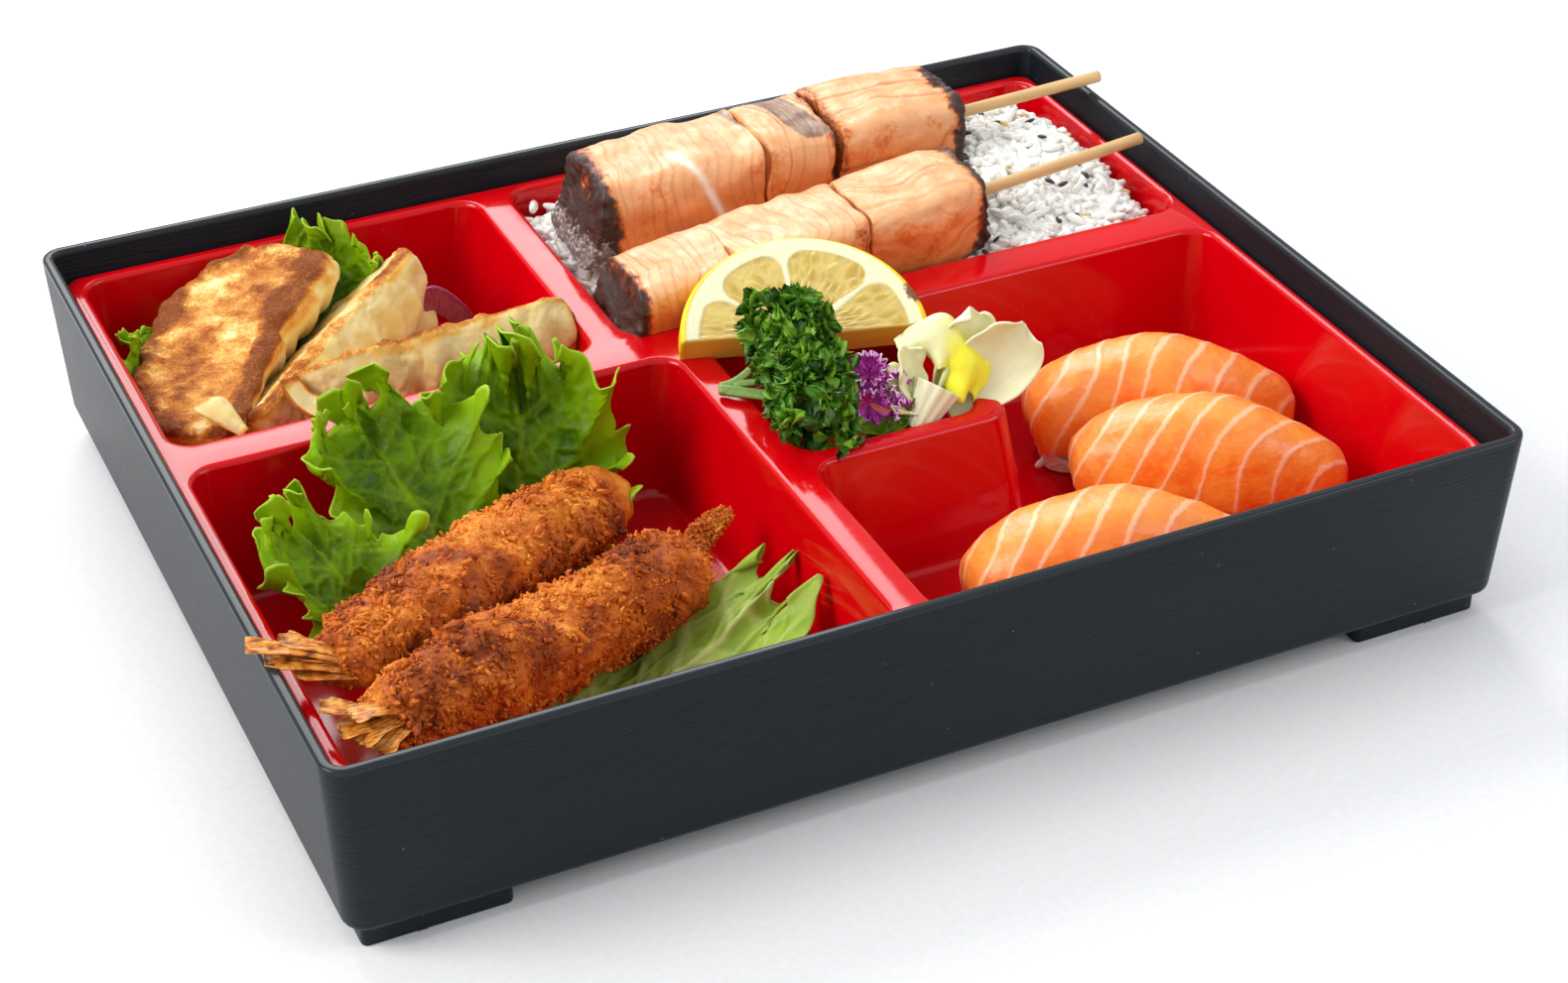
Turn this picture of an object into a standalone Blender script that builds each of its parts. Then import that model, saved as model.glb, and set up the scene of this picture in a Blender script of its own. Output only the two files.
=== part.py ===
"""Takeaway bento box meal: a black box with feet, a red five-pocket tray, and the food in it.

All sizes and places in this file are in millimetres; new_piece() turns them into metres.
The origin is the middle of the box on the surface it stands on: +X to the right along the
long side, +Y to the back, +Z up.
"""

import math

import bmesh
import bpy
from mathutils import Matrix, Vector, noise

MM = 0.001
GAP = 0.3  # room kept between pieces that touch
CUTTER_GROWTH = 1.7  # cutters grow by this many gaps, because their sharp corners grow less

# ---- outer box ----
BOX_LENGTH = 310.0
BOX_DEPTH = 252.0
BOX_HEIGHT = 54.4
BOX_LEAN = 2.2  # each wall leans in this far at its foot
BOX_CORNER = 6.0
RIM_WIDTH = 3.0
RIM_ROUND = 1.2
WALL_FOOT = 7.4  # the walls stop at this height
WALL_FOOT_ROUND = 2.4
BASE_UNDERSIDE = 4.0
BASE_TOP = 6.2
BASE_INSET = 9.0
FOOT_INSET = 5.4
FOOT_LENGTH = 36.0
FOOT_WIDTH = 14.0
FOOT_SLOPE = 2.0

# ---- tray ----
TRAY_TOP = 46.4
TRAY_UNDERSIDE = BASE_TOP + GAP
TRAY_FLOOR = 8.0
TRAY_HALF_LENGTH = 150.5
TRAY_BACK = 121.6
TRAY_CORNER = 5.0
TRAY_SKIN = 1.8
LIP_ROUND = 1.5
FLOOR_ROUND = 2.4
POCKET_CORNER = 7.0
OUTER_WALL_DRAFT = 1.5  # the tray's outer walls are nearly upright
DIVIDER_DRAFT = 4.5  # the dividers' walls lean more
GARNISH_FLOOR = 30.0
STEP_X, STEP_Y = 51.5, -50.3  # the garnish pocket's outer corner
STEP_X_DRAFT = 7.0
STEP_LIP = 5.8
GROOVE_INSET = 10.0  # the grooves under the dividers stop this far inside the tray's edge
GROOVE_MEET = 4.0  # and run this far into each other

# Each pocket's edges at the tray's top: left, right, front, back.
GYOZA_POCKET = (-146.0, -32.5, 25.0, 117.5)
RICE_POCKET = (-22.5, 147.2, 26.5, 117.7)
PRAWN_POCKET = (-146.4, -15.3, -117.7, 13.0)
SUSHI_POCKET = (-5.6, 147.0, -117.7, 13.2)

# ---- food ----
GYOZA_LENGTH = 84.0
GYOZA_WIDTH = 31.0
GYOZA_HEIGHT = 27.0
SKEWER_RADIUS = 1.8
SALMON_FRONT = (28.0, 23.0)  # depth and thickness of the front row's chunks
SALMON_BACK = (31.0, 27.0)
FLAKE_DEPTH = 0.7
PRAWN_RADIUS = 12.4
LEMON_RADIUS = 33.0
LEMON_THICKNESS = 9.6
NIGIRI_HALF = (32.5, 12.6, 27.5)  # the rice's half length, half width and height
SLICE_THICKNESS = 6.0


# ---- shared tools ----


def clear_scene():
    for obj in list(bpy.data.objects):
        bpy.data.objects.remove(obj, do_unlink=True)


def finish(name, colour, roughness):
    """A plain material in the piece's own colour."""
    made = bpy.data.materials.new(name)
    made.use_nodes = True
    shader = made.node_tree.nodes["Principled BSDF"]
    shader.inputs["Base Color"].default_value = (*colour, 1.0)
    shader.inputs["Roughness"].default_value = roughness
    return made


def new_piece(name, points, faces, material):
    """An object from points in millimetres, with its faces turned outwards."""
    mesh = bpy.data.meshes.new(name)
    mesh.from_pydata([Vector(point) * MM for point in points], [], faces)
    shape = bmesh.new()
    shape.from_mesh(mesh)
    bmesh.ops.recalc_face_normals(shape, faces=shape.faces)
    shape.to_mesh(mesh)
    shape.free()
    mesh.shade_smooth()
    mesh.set_sharp_from_angle(angle=math.radians(40))
    mesh.materials.append(material)
    piece = bpy.data.objects.new(name, mesh)
    bpy.context.scene.collection.objects.link(piece)
    return piece


def loft(name, rings, material):
    """A closed body through rings of equal length, with both end rings filled."""
    count = len(rings[0])
    points = [point for ring in rings for point in ring]
    faces = [tuple(range(count)), tuple(range(len(points) - count, len(points)))]
    for low in range(0, len(points) - count, count):
        for i in range(count):
            j = (i + 1) % count
            faces.append((low + i, low + j, low + count + j, low + count + i))
    return new_piece(name, points, faces, material)


def sheet(name, outer, inner, material):
    """A closed body between two grids of points of the same size."""
    rows, columns = len(outer), len(outer[0])
    points = [point for grid in (outer, inner) for row in grid for point in row]
    back = rows * columns
    faces = []
    for i in range(rows - 1):
        for j in range(columns - 1):
            corner = i * columns + j
            quad = (corner, corner + 1, corner + columns + 1, corner + columns)
            faces += [quad, tuple(back + index for index in quad)]
    edge = list(range(columns))
    edge += [i * columns + columns - 1 for i in range(1, rows)]
    edge += [(rows - 1) * columns + j for j in range(columns - 2, -1, -1)]
    edge += [i * columns for i in range(rows - 2, 0, -1)]
    for start, end in zip(edge, edge[1:] + edge[:1]):
        faces.append((start, end, back + end, back + start))
    return new_piece(name, points, faces, material)


def rounded_outline(corners, radius, steps=3):
    """Right-angled corners, each replaced by an arc, turning either way."""
    outline = []
    for i, corner in enumerate(corners):
        here = Vector(corner)
        into = (here - Vector(corners[i - 1])).normalized()
        out = (Vector(corners[(i + 1) % len(corners)]) - here).normalized()
        centre = here - into * radius + out * radius
        for step in range(steps + 1):
            turn = math.pi / 2 * step / steps
            spot = centre + (into * math.sin(turn) - out * math.cos(turn)) * radius
            outline.append((spot.x, spot.y))
    return outline


def rectangle(left, right, front, back):
    return [(left, front), (right, front), (right, back), (left, back)]


def raised(outline, height):
    return [(x, y, height) for x, y in outline]


def place(origin, along, up):
    """The matrix that stands a shape at origin, its X axis along `along` and Z near `up`."""
    x_axis = Vector(along).normalized()
    y_axis = Vector(up).cross(x_axis).normalized()
    z_axis = x_axis.cross(y_axis)
    turned = Matrix((x_axis, y_axis, z_axis)).transposed().to_4x4()
    return Matrix.Translation(Vector(origin)) @ turned


def put(matrix, rings):
    return [[matrix @ Vector(point) for point in ring] for ring in rings]


def lump(point, size, seed):
    """Smooth noise between about -1 and 1 whose lumps are `size` wide."""
    return noise.noise(Vector(point) / size + Vector((seed, seed * 2.3, seed * 0.7)))


def between(low, high, share):
    return low + (high - low) * share


def squared_circle(sides, power):
    """Points round a circle of radius 1: a power under 1 pushes them towards a square."""
    ring = []
    for i in range(sides):
        turn = math.tau * i / sides
        y, z = math.cos(turn), math.sin(turn)
        ring.append((math.copysign(abs(y) ** power, y), math.copysign(abs(z) ** power, z)))
    return ring


def on_curve(path, share):
    """A point on the smooth curve whose control points are `path`."""
    points = [Vector(point) for point in path]
    while len(points) > 1:
        points = [a.lerp(b, share) for a, b in zip(points, points[1:])]
    return points[0]


def frame_on(path, share):
    """The matrix at this share of the curve, its X axis along the curve and Z near upright."""
    ahead = on_curve(path, min(share + 0.01, 1.0)) - on_curve(path, max(share - 0.01, 0.0))
    return place(on_curve(path, share), ahead, (0, 0, 1))


def cutter(piece, gap):
    """A hidden copy of the piece, grown by the gap, for cutting its neighbours."""
    copy = piece.copy()
    copy.name = piece.name + "_room"
    bpy.context.scene.collection.objects.link(copy)
    grow = copy.modifiers.new("room", "DISPLACE")
    grow.strength = gap * MM
    grow.mid_level = 0.0
    return hidden(copy)


def hidden(helper):
    helper.hide_render = True
    helper.display_type = "WIRE"
    return helper


def boolean(piece, other, operation="DIFFERENCE"):
    change = piece.modifiers.new(operation.lower(), "BOOLEAN")
    change.operation = operation
    change.object = other
    change.solver = "EXACT"


def bake(piece):
    """Makes the piece's modifiers part of its mesh, and keeps only its largest body."""
    graph = bpy.context.evaluated_depsgraph_get()
    shape = bmesh.new()
    shape.from_mesh(piece.evaluated_get(graph).to_mesh())
    piece.modifiers.clear()
    for body in sorted(bodies_of(shape), key=len)[:-1]:
        bmesh.ops.delete(shape, geom=list(body), context="VERTS")
    shape.to_mesh(piece.data)
    shape.free()


def bodies_of(shape):
    """The mesh's vertices, in one set for each separate body."""
    left, bodies = set(shape.verts), []
    while left:
        body, reach = set(), [left.pop()]
        while reach:
            vert = reach.pop()
            body.add(vert)
            linked = {edge.other_vert(vert) for edge in vert.link_edges} & left
            left -= linked
            reach += linked
        bodies.append(body)
    return bodies


def extent(piece):
    corners = [vert.co for vert in piece.data.vertices]
    low = [min(corner[axis] for corner in corners) for axis in range(3)]
    high = [max(corner[axis] for corner in corners) for axis in range(3)]
    return low, high


def meet(piece, other):
    """Whether the two pieces' boxes come nearer each other than the gap."""
    low, high = extent(piece)
    other_low, other_high = extent(other)
    for axis in range(3):
        if low[axis] > other_high[axis] + GAP * MM or other_low[axis] > high[axis] + GAP * MM:
            return False
    return True


def settle(pieces):
    """Each piece gives way to those before it, so that what is soft takes their shape."""
    room = CUTTER_GROWTH * GAP
    rooms = {}
    for i, piece in enumerate(pieces):
        for other in pieces[:i]:
            if not meet(piece, other):
                continue
            if other.name not in rooms:
                rooms[other.name] = cutter(other, room)
            boolean(piece, rooms[other.name])
        bake(piece)


# ---- the box ----


def box_ring(inset, height):
    length = BOX_LENGTH / 2 - inset
    depth = BOX_DEPTH / 2 - inset
    corner = max(BOX_CORNER - inset * 0.5, 2.0)
    outline = rounded_outline(rectangle(-length, length, -depth, depth), corner)
    return raised(outline, height)


def foot(side_x, side_y):
    """One L-shaped foot under a corner, with its two ends sloped."""
    corner_x = BOX_LENGTH / 2 - BOX_LEAN - FOOT_INSET
    corner_y = BOX_DEPTH / 2 - BOX_LEAN - FOOT_INSET
    rings = []
    for height, slope in ((0.0, FOOT_SLOPE), (BASE_TOP - 0.4, 0.0)):
        far = FOOT_LENGTH - slope
        outline = [(0, 0), (far, 0), (far, FOOT_WIDTH), (FOOT_WIDTH, FOOT_WIDTH)]
        outline += [(FOOT_WIDTH, far), (0, far)]
        ring = [(side_x * (corner_x - x), side_y * (corner_y - y), height) for x, y in outline]
        rings.append(ring)
    return hidden(loft("foot", rings, None))


def outer_box(material):
    """The walls, rim, rounded lower edge and base as one shell, with four feet."""
    foot_height = WALL_FOOT + WALL_FOOT_ROUND
    wall = RIM_WIDTH + 0.8
    rings = [box_ring(BOX_LEAN + BASE_INSET, BASE_UNDERSIDE)]
    rings.append(box_ring(BOX_LEAN + WALL_FOOT_ROUND, WALL_FOOT - 1.0))
    rings.append(box_ring(BOX_LEAN + 0.7, WALL_FOOT + 0.2))
    rings.append(box_ring(BOX_LEAN, foot_height))
    rings.append(box_ring(0.0, BOX_HEIGHT - RIM_ROUND))
    rings.append(box_ring(RIM_ROUND * 0.3, BOX_HEIGHT - RIM_ROUND * 0.3))
    rings.append(box_ring(RIM_ROUND, BOX_HEIGHT))
    rings.append(box_ring(RIM_WIDTH - RIM_ROUND, BOX_HEIGHT))
    rings.append(box_ring(RIM_WIDTH, BOX_HEIGHT - RIM_ROUND))
    rings.append(box_ring(wall + BOX_LEAN, BASE_TOP + 2.0))
    rings.append(box_ring(wall + BOX_LEAN + 1.5, BASE_TOP))
    box = loft("outer_box", rings, material)
    for side_x in (-1, 1):
        for side_y in (-1, 1):
            boolean(box, foot(side_x, side_y), "UNION")
    return box


# ---- the tray ----


def hollow(pocket):
    """A cutter for one pocket, with a rounded lip and a rounded floor edge."""
    floor = pocket.floor
    depth = TRAY_TOP - floor
    rings = [(0.0, LIP_ROUND, TRAY_TOP + 4.0), (0.0, LIP_ROUND, TRAY_TOP)]
    rings.append((0.0, LIP_ROUND * 0.3, TRAY_TOP - LIP_ROUND * 0.3))
    rings.append((0.0, 0.0, TRAY_TOP - LIP_ROUND))
    share = 1 - FLOOR_ROUND / depth
    rings.append((share, 0.0, floor + FLOOR_ROUND))
    rings.append((share, -FLOOR_ROUND * 0.3, floor + FLOOR_ROUND * 0.3))
    rings.append((share, -FLOOR_ROUND, floor))
    made = []
    for share, grow, height in rings:
        outline = rounded_outline(pocket.corners(share, grow), POCKET_CORNER + grow)
        made.append(raised(outline, height))
    return hidden(loft("pocket", made, None))


class Pocket:
    """A pocket's outline at any depth: each side has its place at the top and its draft."""

    def __init__(self, edges, drafts, floor=TRAY_FLOOR, step=None):
        self.edges = edges
        self.drafts = drafts
        self.floor = floor
        self.step = step

    def corners(self, share, grow):
        """The outline's corners: share runs from 0 at the tray's top to 1 at the floor, and
        grow moves every side outwards."""
        inset = [draft * share - grow for draft in self.drafts]
        left, right, front, back = self.edges
        left, right = left + inset[0], right - inset[1]
        front, back = front + inset[2], back - inset[3]
        if self.step is None:
            return rectangle(left, right, front, back)
        step_x = self.step[0] + STEP_X_DRAFT * share - grow
        step_y = self.step[1] - DIVIDER_DRAFT * share + grow
        low_side = [(left, front), (right, front), (right, back)]
        return low_side + [(step_x, back), (step_x, step_y), (left, step_y)]


OUTER, INNER = OUTER_WALL_DRAFT, DIVIDER_DRAFT
POCKETS = (
    Pocket(GYOZA_POCKET, (OUTER, INNER, INNER, OUTER)),
    Pocket(RICE_POCKET, (INNER, OUTER, INNER, OUTER)),
    Pocket(PRAWN_POCKET, (OUTER, INNER, OUTER, INNER)),
    Pocket(SUSHI_POCKET, (INNER, OUTER, OUTER, INNER), step=(STEP_X, STEP_Y)),
    Pocket(
        (SUSHI_POCKET[0], STEP_X - STEP_LIP, STEP_Y + STEP_LIP, SUSHI_POCKET[3]),
        (1.5, 1.5, 1.5, 1.5),
        floor=GARNISH_FLOOR,
    ),
)


def under_groove(left, right, front, back, top, along):
    """A cutter that hollows a divider from below. `along` is the axis the divider runs along:
    the groove narrows across it towards its top."""
    rings = []
    for height, share in ((TRAY_UNDERSIDE - 2.0, 0.0), (top, 1.0)):
        narrow = (DIVIDER_DRAFT + 0.2) * share
        x_in, y_in = (narrow, 0.0) if along == "y" else (0.0, narrow)
        outline = rectangle(left + x_in, right - x_in, front + y_in, back - y_in)
        rings.append(raised(outline, height))
    return hidden(loft("groove", rings, None))


def tray(material):
    """The moulded tray: a drafted block with five pockets, hollow under its dividers."""
    rings = []
    heights = ((TRAY_UNDERSIDE, BOX_LEAN + 0.6), (TRAY_TOP - 0.8, 0.0), (TRAY_TOP, 0.8))
    for height, inset in heights:
        length = TRAY_HALF_LENGTH - inset
        depth = TRAY_BACK - inset
        outline = rounded_outline(rectangle(-length, length, -depth, depth), TRAY_CORNER)
        rings.append(raised(outline, height))
    made = loft("insert_tray", rings, material)
    for pocket in POCKETS:
        boolean(made, hollow(pocket))
    reach = DIVIDER_DRAFT - TRAY_SKIN
    land = TRAY_TOP - TRAY_SKIN
    step = GARNISH_FLOOR - TRAY_SKIN
    end_x = TRAY_HALF_LENGTH - GROOVE_INSET
    end_y = TRAY_BACK - GROOVE_INSET
    left, right = PRAWN_POCKET[1] - reach, SUSHI_POCKET[0] + reach
    front, back = PRAWN_POCKET[3] - reach, GYOZA_POCKET[2] + reach
    grooves = (
        under_groove(-end_x, end_x, front, back, land, "x"),
        under_groove(left, right, -end_y, front + GROOVE_MEET, land, "y"),
        under_groove(left + GROOVE_MEET, STEP_X - 2.0, STEP_Y + 2.0, front + GROOVE_MEET, step, "y"),
        under_groove(
            GYOZA_POCKET[1] - reach, RICE_POCKET[0] + reach, back - GROOVE_MEET, end_y, land, "y"
        ),
    )
    for groove in grooves:
        boolean(made, groove)
    return made


# ---- gyoza ----

# Each dumpling's middle of the browned base, its long axis, the way the base faces, its
# bend sideways and its share of the full size.
GYOZA = {
    "gyoza_left": ((-114.0, 74.0, 45.0), (45.0, 67.0, 13.0), (-0.22, -0.12, 1.0), -9.0, 1.0),
    "gyoza_middle": ((-95.0, 70.0, 41.0), (60.0, 50.0, 11.0), (-0.72, 0.25, 0.62), -6.0, 0.97),
    "gyoza_front": ((-70.0, 51.0, 43.0), (84.0, -4.0, 7.0), (0.10, 0.75, 0.65), -4.0, 0.97),
}


def gyoza(name, material):
    """A crescent dumpling: flat browned base, bulging sides and a pleated seam."""
    middle, along, facing, bend, share = GYOZA[name]
    length, width, height = GYOZA_LENGTH * share, GYOZA_WIDTH * share, GYOZA_HEIGHT * share
    rings = []
    for step in range(11):
        t = -0.985 + 1.97 * step / 10
        swell = (1 - abs(t) ** 2.4) ** 0.55
        half = width / 2 * swell + 1.2
        tall = height * (0.35 + 0.65 * swell)
        pleat = 1.1 * math.cos(step * math.pi)
        shift = bend * (1 - t * t)
        section = (
            (-half, 0.0),
            (-half - 1.0, tall * 0.22),
            (-half * 0.80, tall * 0.52),
            (-1.6, tall * 0.80 + 0.5 * pleat),
            (-1.0, tall + pleat),
            (1.0, tall + pleat),
            (1.8, tall * 0.80 - 0.5 * pleat),
            (half * 0.72 + pleat, tall * 0.55),
            (half + 1.0, tall * 0.22),
            (half, 0.0),
            (0.0, -0.4),
        )
        rings.append([(t * length / 2, y + shift, z) for y, z in section])
    matrix = place(middle, along, [-value for value in facing])
    return loft(name, put(matrix, rings), material)


# ---- salmon skewers and rice ----

# Each skewer's two ends, and the chunks on it as spans of X.
SKEWERS = {
    "front": ((-14.0, 39.3, 47.5), (147.5, 48.6, 58.0)),
    "back": ((-6.0, 83.0, 54.9), (157.0, 88.6, 58.2)),
}
CHUNKS = {
    "salmon_front_left": ("front", -20.5, 10.0),
    "salmon_front_middle": ("front", 10.8, 50.0),
    "salmon_front_right": ("front", 50.8, 88.0),
    "salmon_back_left": ("back", -13.5, 38.0),
    "salmon_back_middle": ("back", 38.8, 60.0),
    "salmon_back_right": ("back", 60.8, 101.0),
}


def skewer_line(row, x):
    """The point of the row's skewer at this X, also past its ends."""
    start, end = (Vector(point) for point in SKEWERS[row])
    return start + (end - start) * ((x - start.x) / (end.x - start.x))


def skewer(row, material):
    """A round stick, pointed at its left end and cut off at its right end."""
    start, end = (Vector(point) for point in SKEWERS[row])
    reach = (end - start).length
    rings = []
    for distance, share in ((0.0, 0.25), (8.0, 1.0), (reach - 1.0, 1.0), (reach, 0.7)):
        radius = SKEWER_RADIUS * share
        rings.append([(distance, radius * y, radius * z) for y, z in squared_circle(8, 1.0)])
    matrix = place(start, end - start, (0, 0, 1))
    return loft("skewer_" + row, put(matrix, rings), material)


def salmon_chunk(name, material):
    """A block of grilled fish, rounded at its edges, with shallow flake ridges."""
    row, left, right = CHUNKS[name]
    depth, thickness = SALMON_FRONT if row == "front" else SALMON_BACK
    seed = 3.1 * list(CHUNKS).index(name)
    sizes = {0.0: 0.72, 0.06: 0.93, 0.3: 1.0, 0.7: 1.0, 0.94: 0.94, 1.0: 0.76}
    rings = []
    for share, size in sizes.items():
        middle = skewer_line(row, between(left, right, share))
        ring = []
        for y, z in squared_circle(14, 0.6):
            spot = Vector((middle.x, y * depth / 2 * size, z * thickness / 2 * size))
            flake = FLAKE_DEPTH * math.sin(spot.x * 0.75 + spot.y * 0.3)
            swell = 1 + (flake + 1.6 * lump(spot, 14.0, seed)) / depth
            ring.append((middle.x, middle.y + spot.y * swell, middle.z + spot.z * swell))
        rings.append(ring)
    return loft(name, rings, material)


def rice_height(x, y):
    """The heap is highest in the middle of its right end, and lower under the salmon."""
    left, right, front, back = RICE_POCKET
    depth_share = min(max((y - front) / (back - front), 0.0), 1.0)
    under_fish = between(35.5, 41.5, depth_share) + 3.0 * min(max(x / 90.0, 0.0), 1.0)
    heap = 44.0 + 6.0 * math.sin(math.pi * depth_share)
    heap -= 13.0 * min(max((x - right + 13.0) / 13.0, 0.0), 1.0)
    heap -= 16.0 * min(max((y - back + 24.0 - (x - 100.0) * 0.3) / 24.0, 0.0), 1.0)
    open_share = min(max((x - 84.0) / 24.0, 0.0), 1.0)
    return between(under_fish, heap, open_share) + 1.8 * lump((x, y, 0.0), 9.0, 1.0)


def rice_bed(material):
    """The rice fills its pocket, with a heaped top that falls away at the right and back."""
    pocket = POCKETS[1]
    rings = []
    levels = ((0.93, -4.4, TRAY_FLOOR + GAP), (0.86, -0.8, 12.5), (0.2, -0.6, 32.0))
    for share, grow, height in levels:
        outline = rounded_outline(pocket.corners(share, grow), POCKET_CORNER + grow, 2)
        rings.append(raised(outline, height))
    left, right, front, back = RICE_POCKET
    middle = ((left + right) / 2, (front + back) / 2)
    rim = rounded_outline(pocket.corners(0.15, -1.2), POCKET_CORNER, 2)
    for share, sunk in ((1.0, 5.5), (0.88, 0.0), (0.7, 0.0), (0.48, 0.0), (0.24, 0.0)):
        ring = []
        for x, y in rim:
            x, y = between(middle[0], x, share), between(middle[1], y, share)
            ring.append((x, y, rice_height(x, y) - sunk))
        rings.append(ring)
    return loft("rice_bed", rings, material)


# ---- fried prawns ----

# Each prawn's curve from tail to head, its share of the full size and its noise seed.
PRAWNS = {
    "prawn_back": {
        "path": ((-139.0, -83.5, 49.0), (-110.0, -60.0, 42.0), (-76.0, -34.0, 33.0), (-43.0, -11.0, 26.0)),
        "size": 1.0,
        "seed": 2.0,
    },
    "prawn_front": {
        "path": ((-137.0, -103.0, 46.5), (-106.0, -88.0, 39.0), (-74.0, -71.0, 32.0), (-38.0, -50.0, 27.0)),
        "size": 1.04,
        "seed": 5.0,
    },
}


def tube(path, radius_at, sides, steps):
    """Rings round a curve. radius_at(share, turn) gives the radius."""
    rings = []
    for step in range(steps + 1):
        share = step / steps
        ring = []
        for i in range(sides):
            turn = math.tau * i / sides
            radius = radius_at(share, turn)
            ring.append((0.0, radius * math.cos(turn), radius * math.sin(turn)))
        rings += put(frame_on(path, share), [ring])
    return rings


def prawn(name, material):
    """A crumbed prawn: thin at the tail, thick to a blunt end, lumpy all over."""
    shape = PRAWNS[name]

    def radius_at(share, turn):
        taper = min(1.0, 0.58 + 1.5 * share)
        blunt = math.sqrt(max(1 - max((share - 0.88) / 0.125, 0.0) ** 2, 0.05))
        spot = (share * 60.0, 9.0 * math.cos(turn), 9.0 * math.sin(turn))
        rough = 1 + 0.22 * lump(spot, 7.0, shape["seed"])
        return PRAWN_RADIUS * shape["size"] * taper * blunt * rough

    return loft(name, tube(shape["path"], radius_at, 11, 11), material)


TAILS = {
    "prawn_back_tail": ((-140.5, -84.5, 49.8), (-149.0, -81.5, 58.5), (-156.6, -77.5, 58.0)),
    "prawn_front_tail": ((-138.6, -103.8, 47.2), (-143.5, -106.5, 49.5), (-147.6, -106.0, 51.5)),
}


def prawn_tail(name, material):
    """A tail fan: round where it leaves the crumb, wide and thin at its end."""
    path = TAILS[name]
    halves = {0.0: (3.4, 3.0), 0.25: (4.6, 3.0), 0.55: (5.6, 2.0), 0.85: (6.4, 1.3), 1.0: (4.6, 0.8)}
    rings = []
    for share, (wide, thick) in halves.items():
        ring = [(0.0, wide * y, thick * z) for y, z in squared_circle(8, 1.0)]
        rings += put(frame_on(path, share), [ring])
    return loft(name, rings, material)


# ---- nigiri ----

# Each nigiri's middle on the tray floor, its long axis and its share of the full size.
NIGIRI = {
    "nigiri_back": ((107.0, -31.0), (0.95, -0.30), 1.02),
    "nigiri_middle": ((103.0, -62.0), (0.91, -0.42), 1.0),
    "nigiri_front": ((56.5, -92.0), (0.985, -0.17), 1.06),
}


def mound_point(long_turn, cross_turn, grow):
    """A point on the nigiri's rice, or `grow` outside it."""
    half_length, half_width, height = NIGIRI_HALF
    ring = math.cos(long_turn) ** 0.55
    side = math.copysign(abs(math.cos(cross_turn)) ** 0.75, math.cos(cross_turn))
    x = (half_length + grow) * math.sin(long_turn)
    y = (half_width + grow) * ring * side
    z = (height + grow) * ring * math.sin(cross_turn) ** 0.75
    return x, y, z


def nigiri_matrix(name):
    (x, y), along, size = NIGIRI[name]
    return place((x, y, TRAY_FLOOR + GAP), (*along, 0.0), (0, 0, 1)) @ Matrix.Scale(size, 4)


def nigiri_rice(name, material):
    """The pressed rice: a long mound with a flat foot."""
    rings = []
    for step in range(7):
        long_turn = math.radians(-84 + 168 * step / 6)
        rings.append([mound_point(long_turn, math.pi * i / 8, 0.0) for i in range(9)])
    return loft(name + "_rice", put(nigiri_matrix(name), rings), material)


def nigiri_slice(name, material):
    """The slice of fish laid over the rice, thinner towards its sides."""
    grids = []
    for outer in (True, False):
        grid = []
        for step in range(8):
            long_turn = math.radians(-82 + 164 * step / 7)
            row = []
            for i in range(9):
                cross_turn = math.radians(9 + 162 * i / 8)
                thick = SLICE_THICKNESS * (0.45 + 0.55 * math.sin(cross_turn)) if outer else 0.0
                row.append(mound_point(long_turn, cross_turn, 2 * GAP + thick))
            grid.append(row)
        grids.append(put(nigiri_matrix(name), grid))
    return sheet(name + "_salmon", grids[0], grids[1], material)


# ---- garnish ----

LEMON_MIDDLE = (15.5, -3.0, 53.5)
LEMON_CHORD = (0.955, -0.298, 0.0)
LEMON_LEAN = 24.0  # degrees above flat


def lemon_slice(material):
    """Half a slice of lemon leaning back over the tray's divider."""
    chord = Vector(LEMON_CHORD).normalized()
    back = Vector((-chord.y, chord.x, 0.0))
    lean = math.radians(LEMON_LEAN)
    uphill = back * math.cos(lean) + Vector((0, 0, 1)) * math.sin(lean)
    facing = chord.cross(uphill)
    rings = []
    levels = ((0.0, 0.9), (1.2, 0.0), (LEMON_THICKNESS - 1.2, 0.0), (LEMON_THICKNESS, 0.9))
    for depth, inset in levels:
        ring = []
        for i in range(17):
            turn = math.pi * i / 16
            radius = LEMON_RADIUS - inset
            across, up = radius * math.cos(turn), radius * math.sin(turn) * 0.97
            ring.append(Vector(LEMON_MIDDLE) + chord * across + uphill * up - facing * depth)
        rings.append(ring)
    return loft("lemon_slice", rings, material)


PARSLEY_PATH = ((9.0, 0.0, 71.0), (4.0, -8.0, 64.0), (5.0, -30.0, 60.0), (-3.0, -45.0, 49.0))
PARSLEY_RADIUS = 12.0
STALK_PATH = ((-12.5, -6.5, 48.6), (-4.0, -9.0, 51.5), (8.0, -14.0, 58.0))
STALK_RADIUS = 1.4


def parsley(material):
    """A sprig of curly parsley, as one body out to its lumpy outline, with its stalk."""

    def radius_at(share, turn):
        waist = 1 - 0.16 * math.sin(math.pi * share)
        end = math.sin(math.pi * min(max(share, 0.03), 0.97)) ** 0.35
        spot = (share * 60.0, 12.0 * math.cos(turn), 12.0 * math.sin(turn))
        return PARSLEY_RADIUS * waist * end * (1 + 0.35 * lump(spot, 5.0, 8.0))

    sprig = loft("parsley", tube(PARSLEY_PATH, radius_at, 11, 11), material)
    stalk = loft("stalk", tube(STALK_PATH, lambda share, turn: STALK_RADIUS, 6, 4), material)
    boolean(sprig, hidden(stalk), "UNION")
    return sprig


BLOSSOM_SIDES = 16
BLOSSOMS = {
    "yellow_flower": {
        "base": (29.0, -41.0, 45.0),
        "mouth": (47.0, -29.0, 57.0),
        "width": 31.0,
        "lobes": 4,
        "frill": 2.2,
    },
    "purple_flower": {
        "base": (16.0, -30.0, 42.0),
        "mouth": (21.0, -34.0, 53.0),
        "width": 17.0,
        "lobes": 5,
        "frill": 1.6,
    },
}


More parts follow.
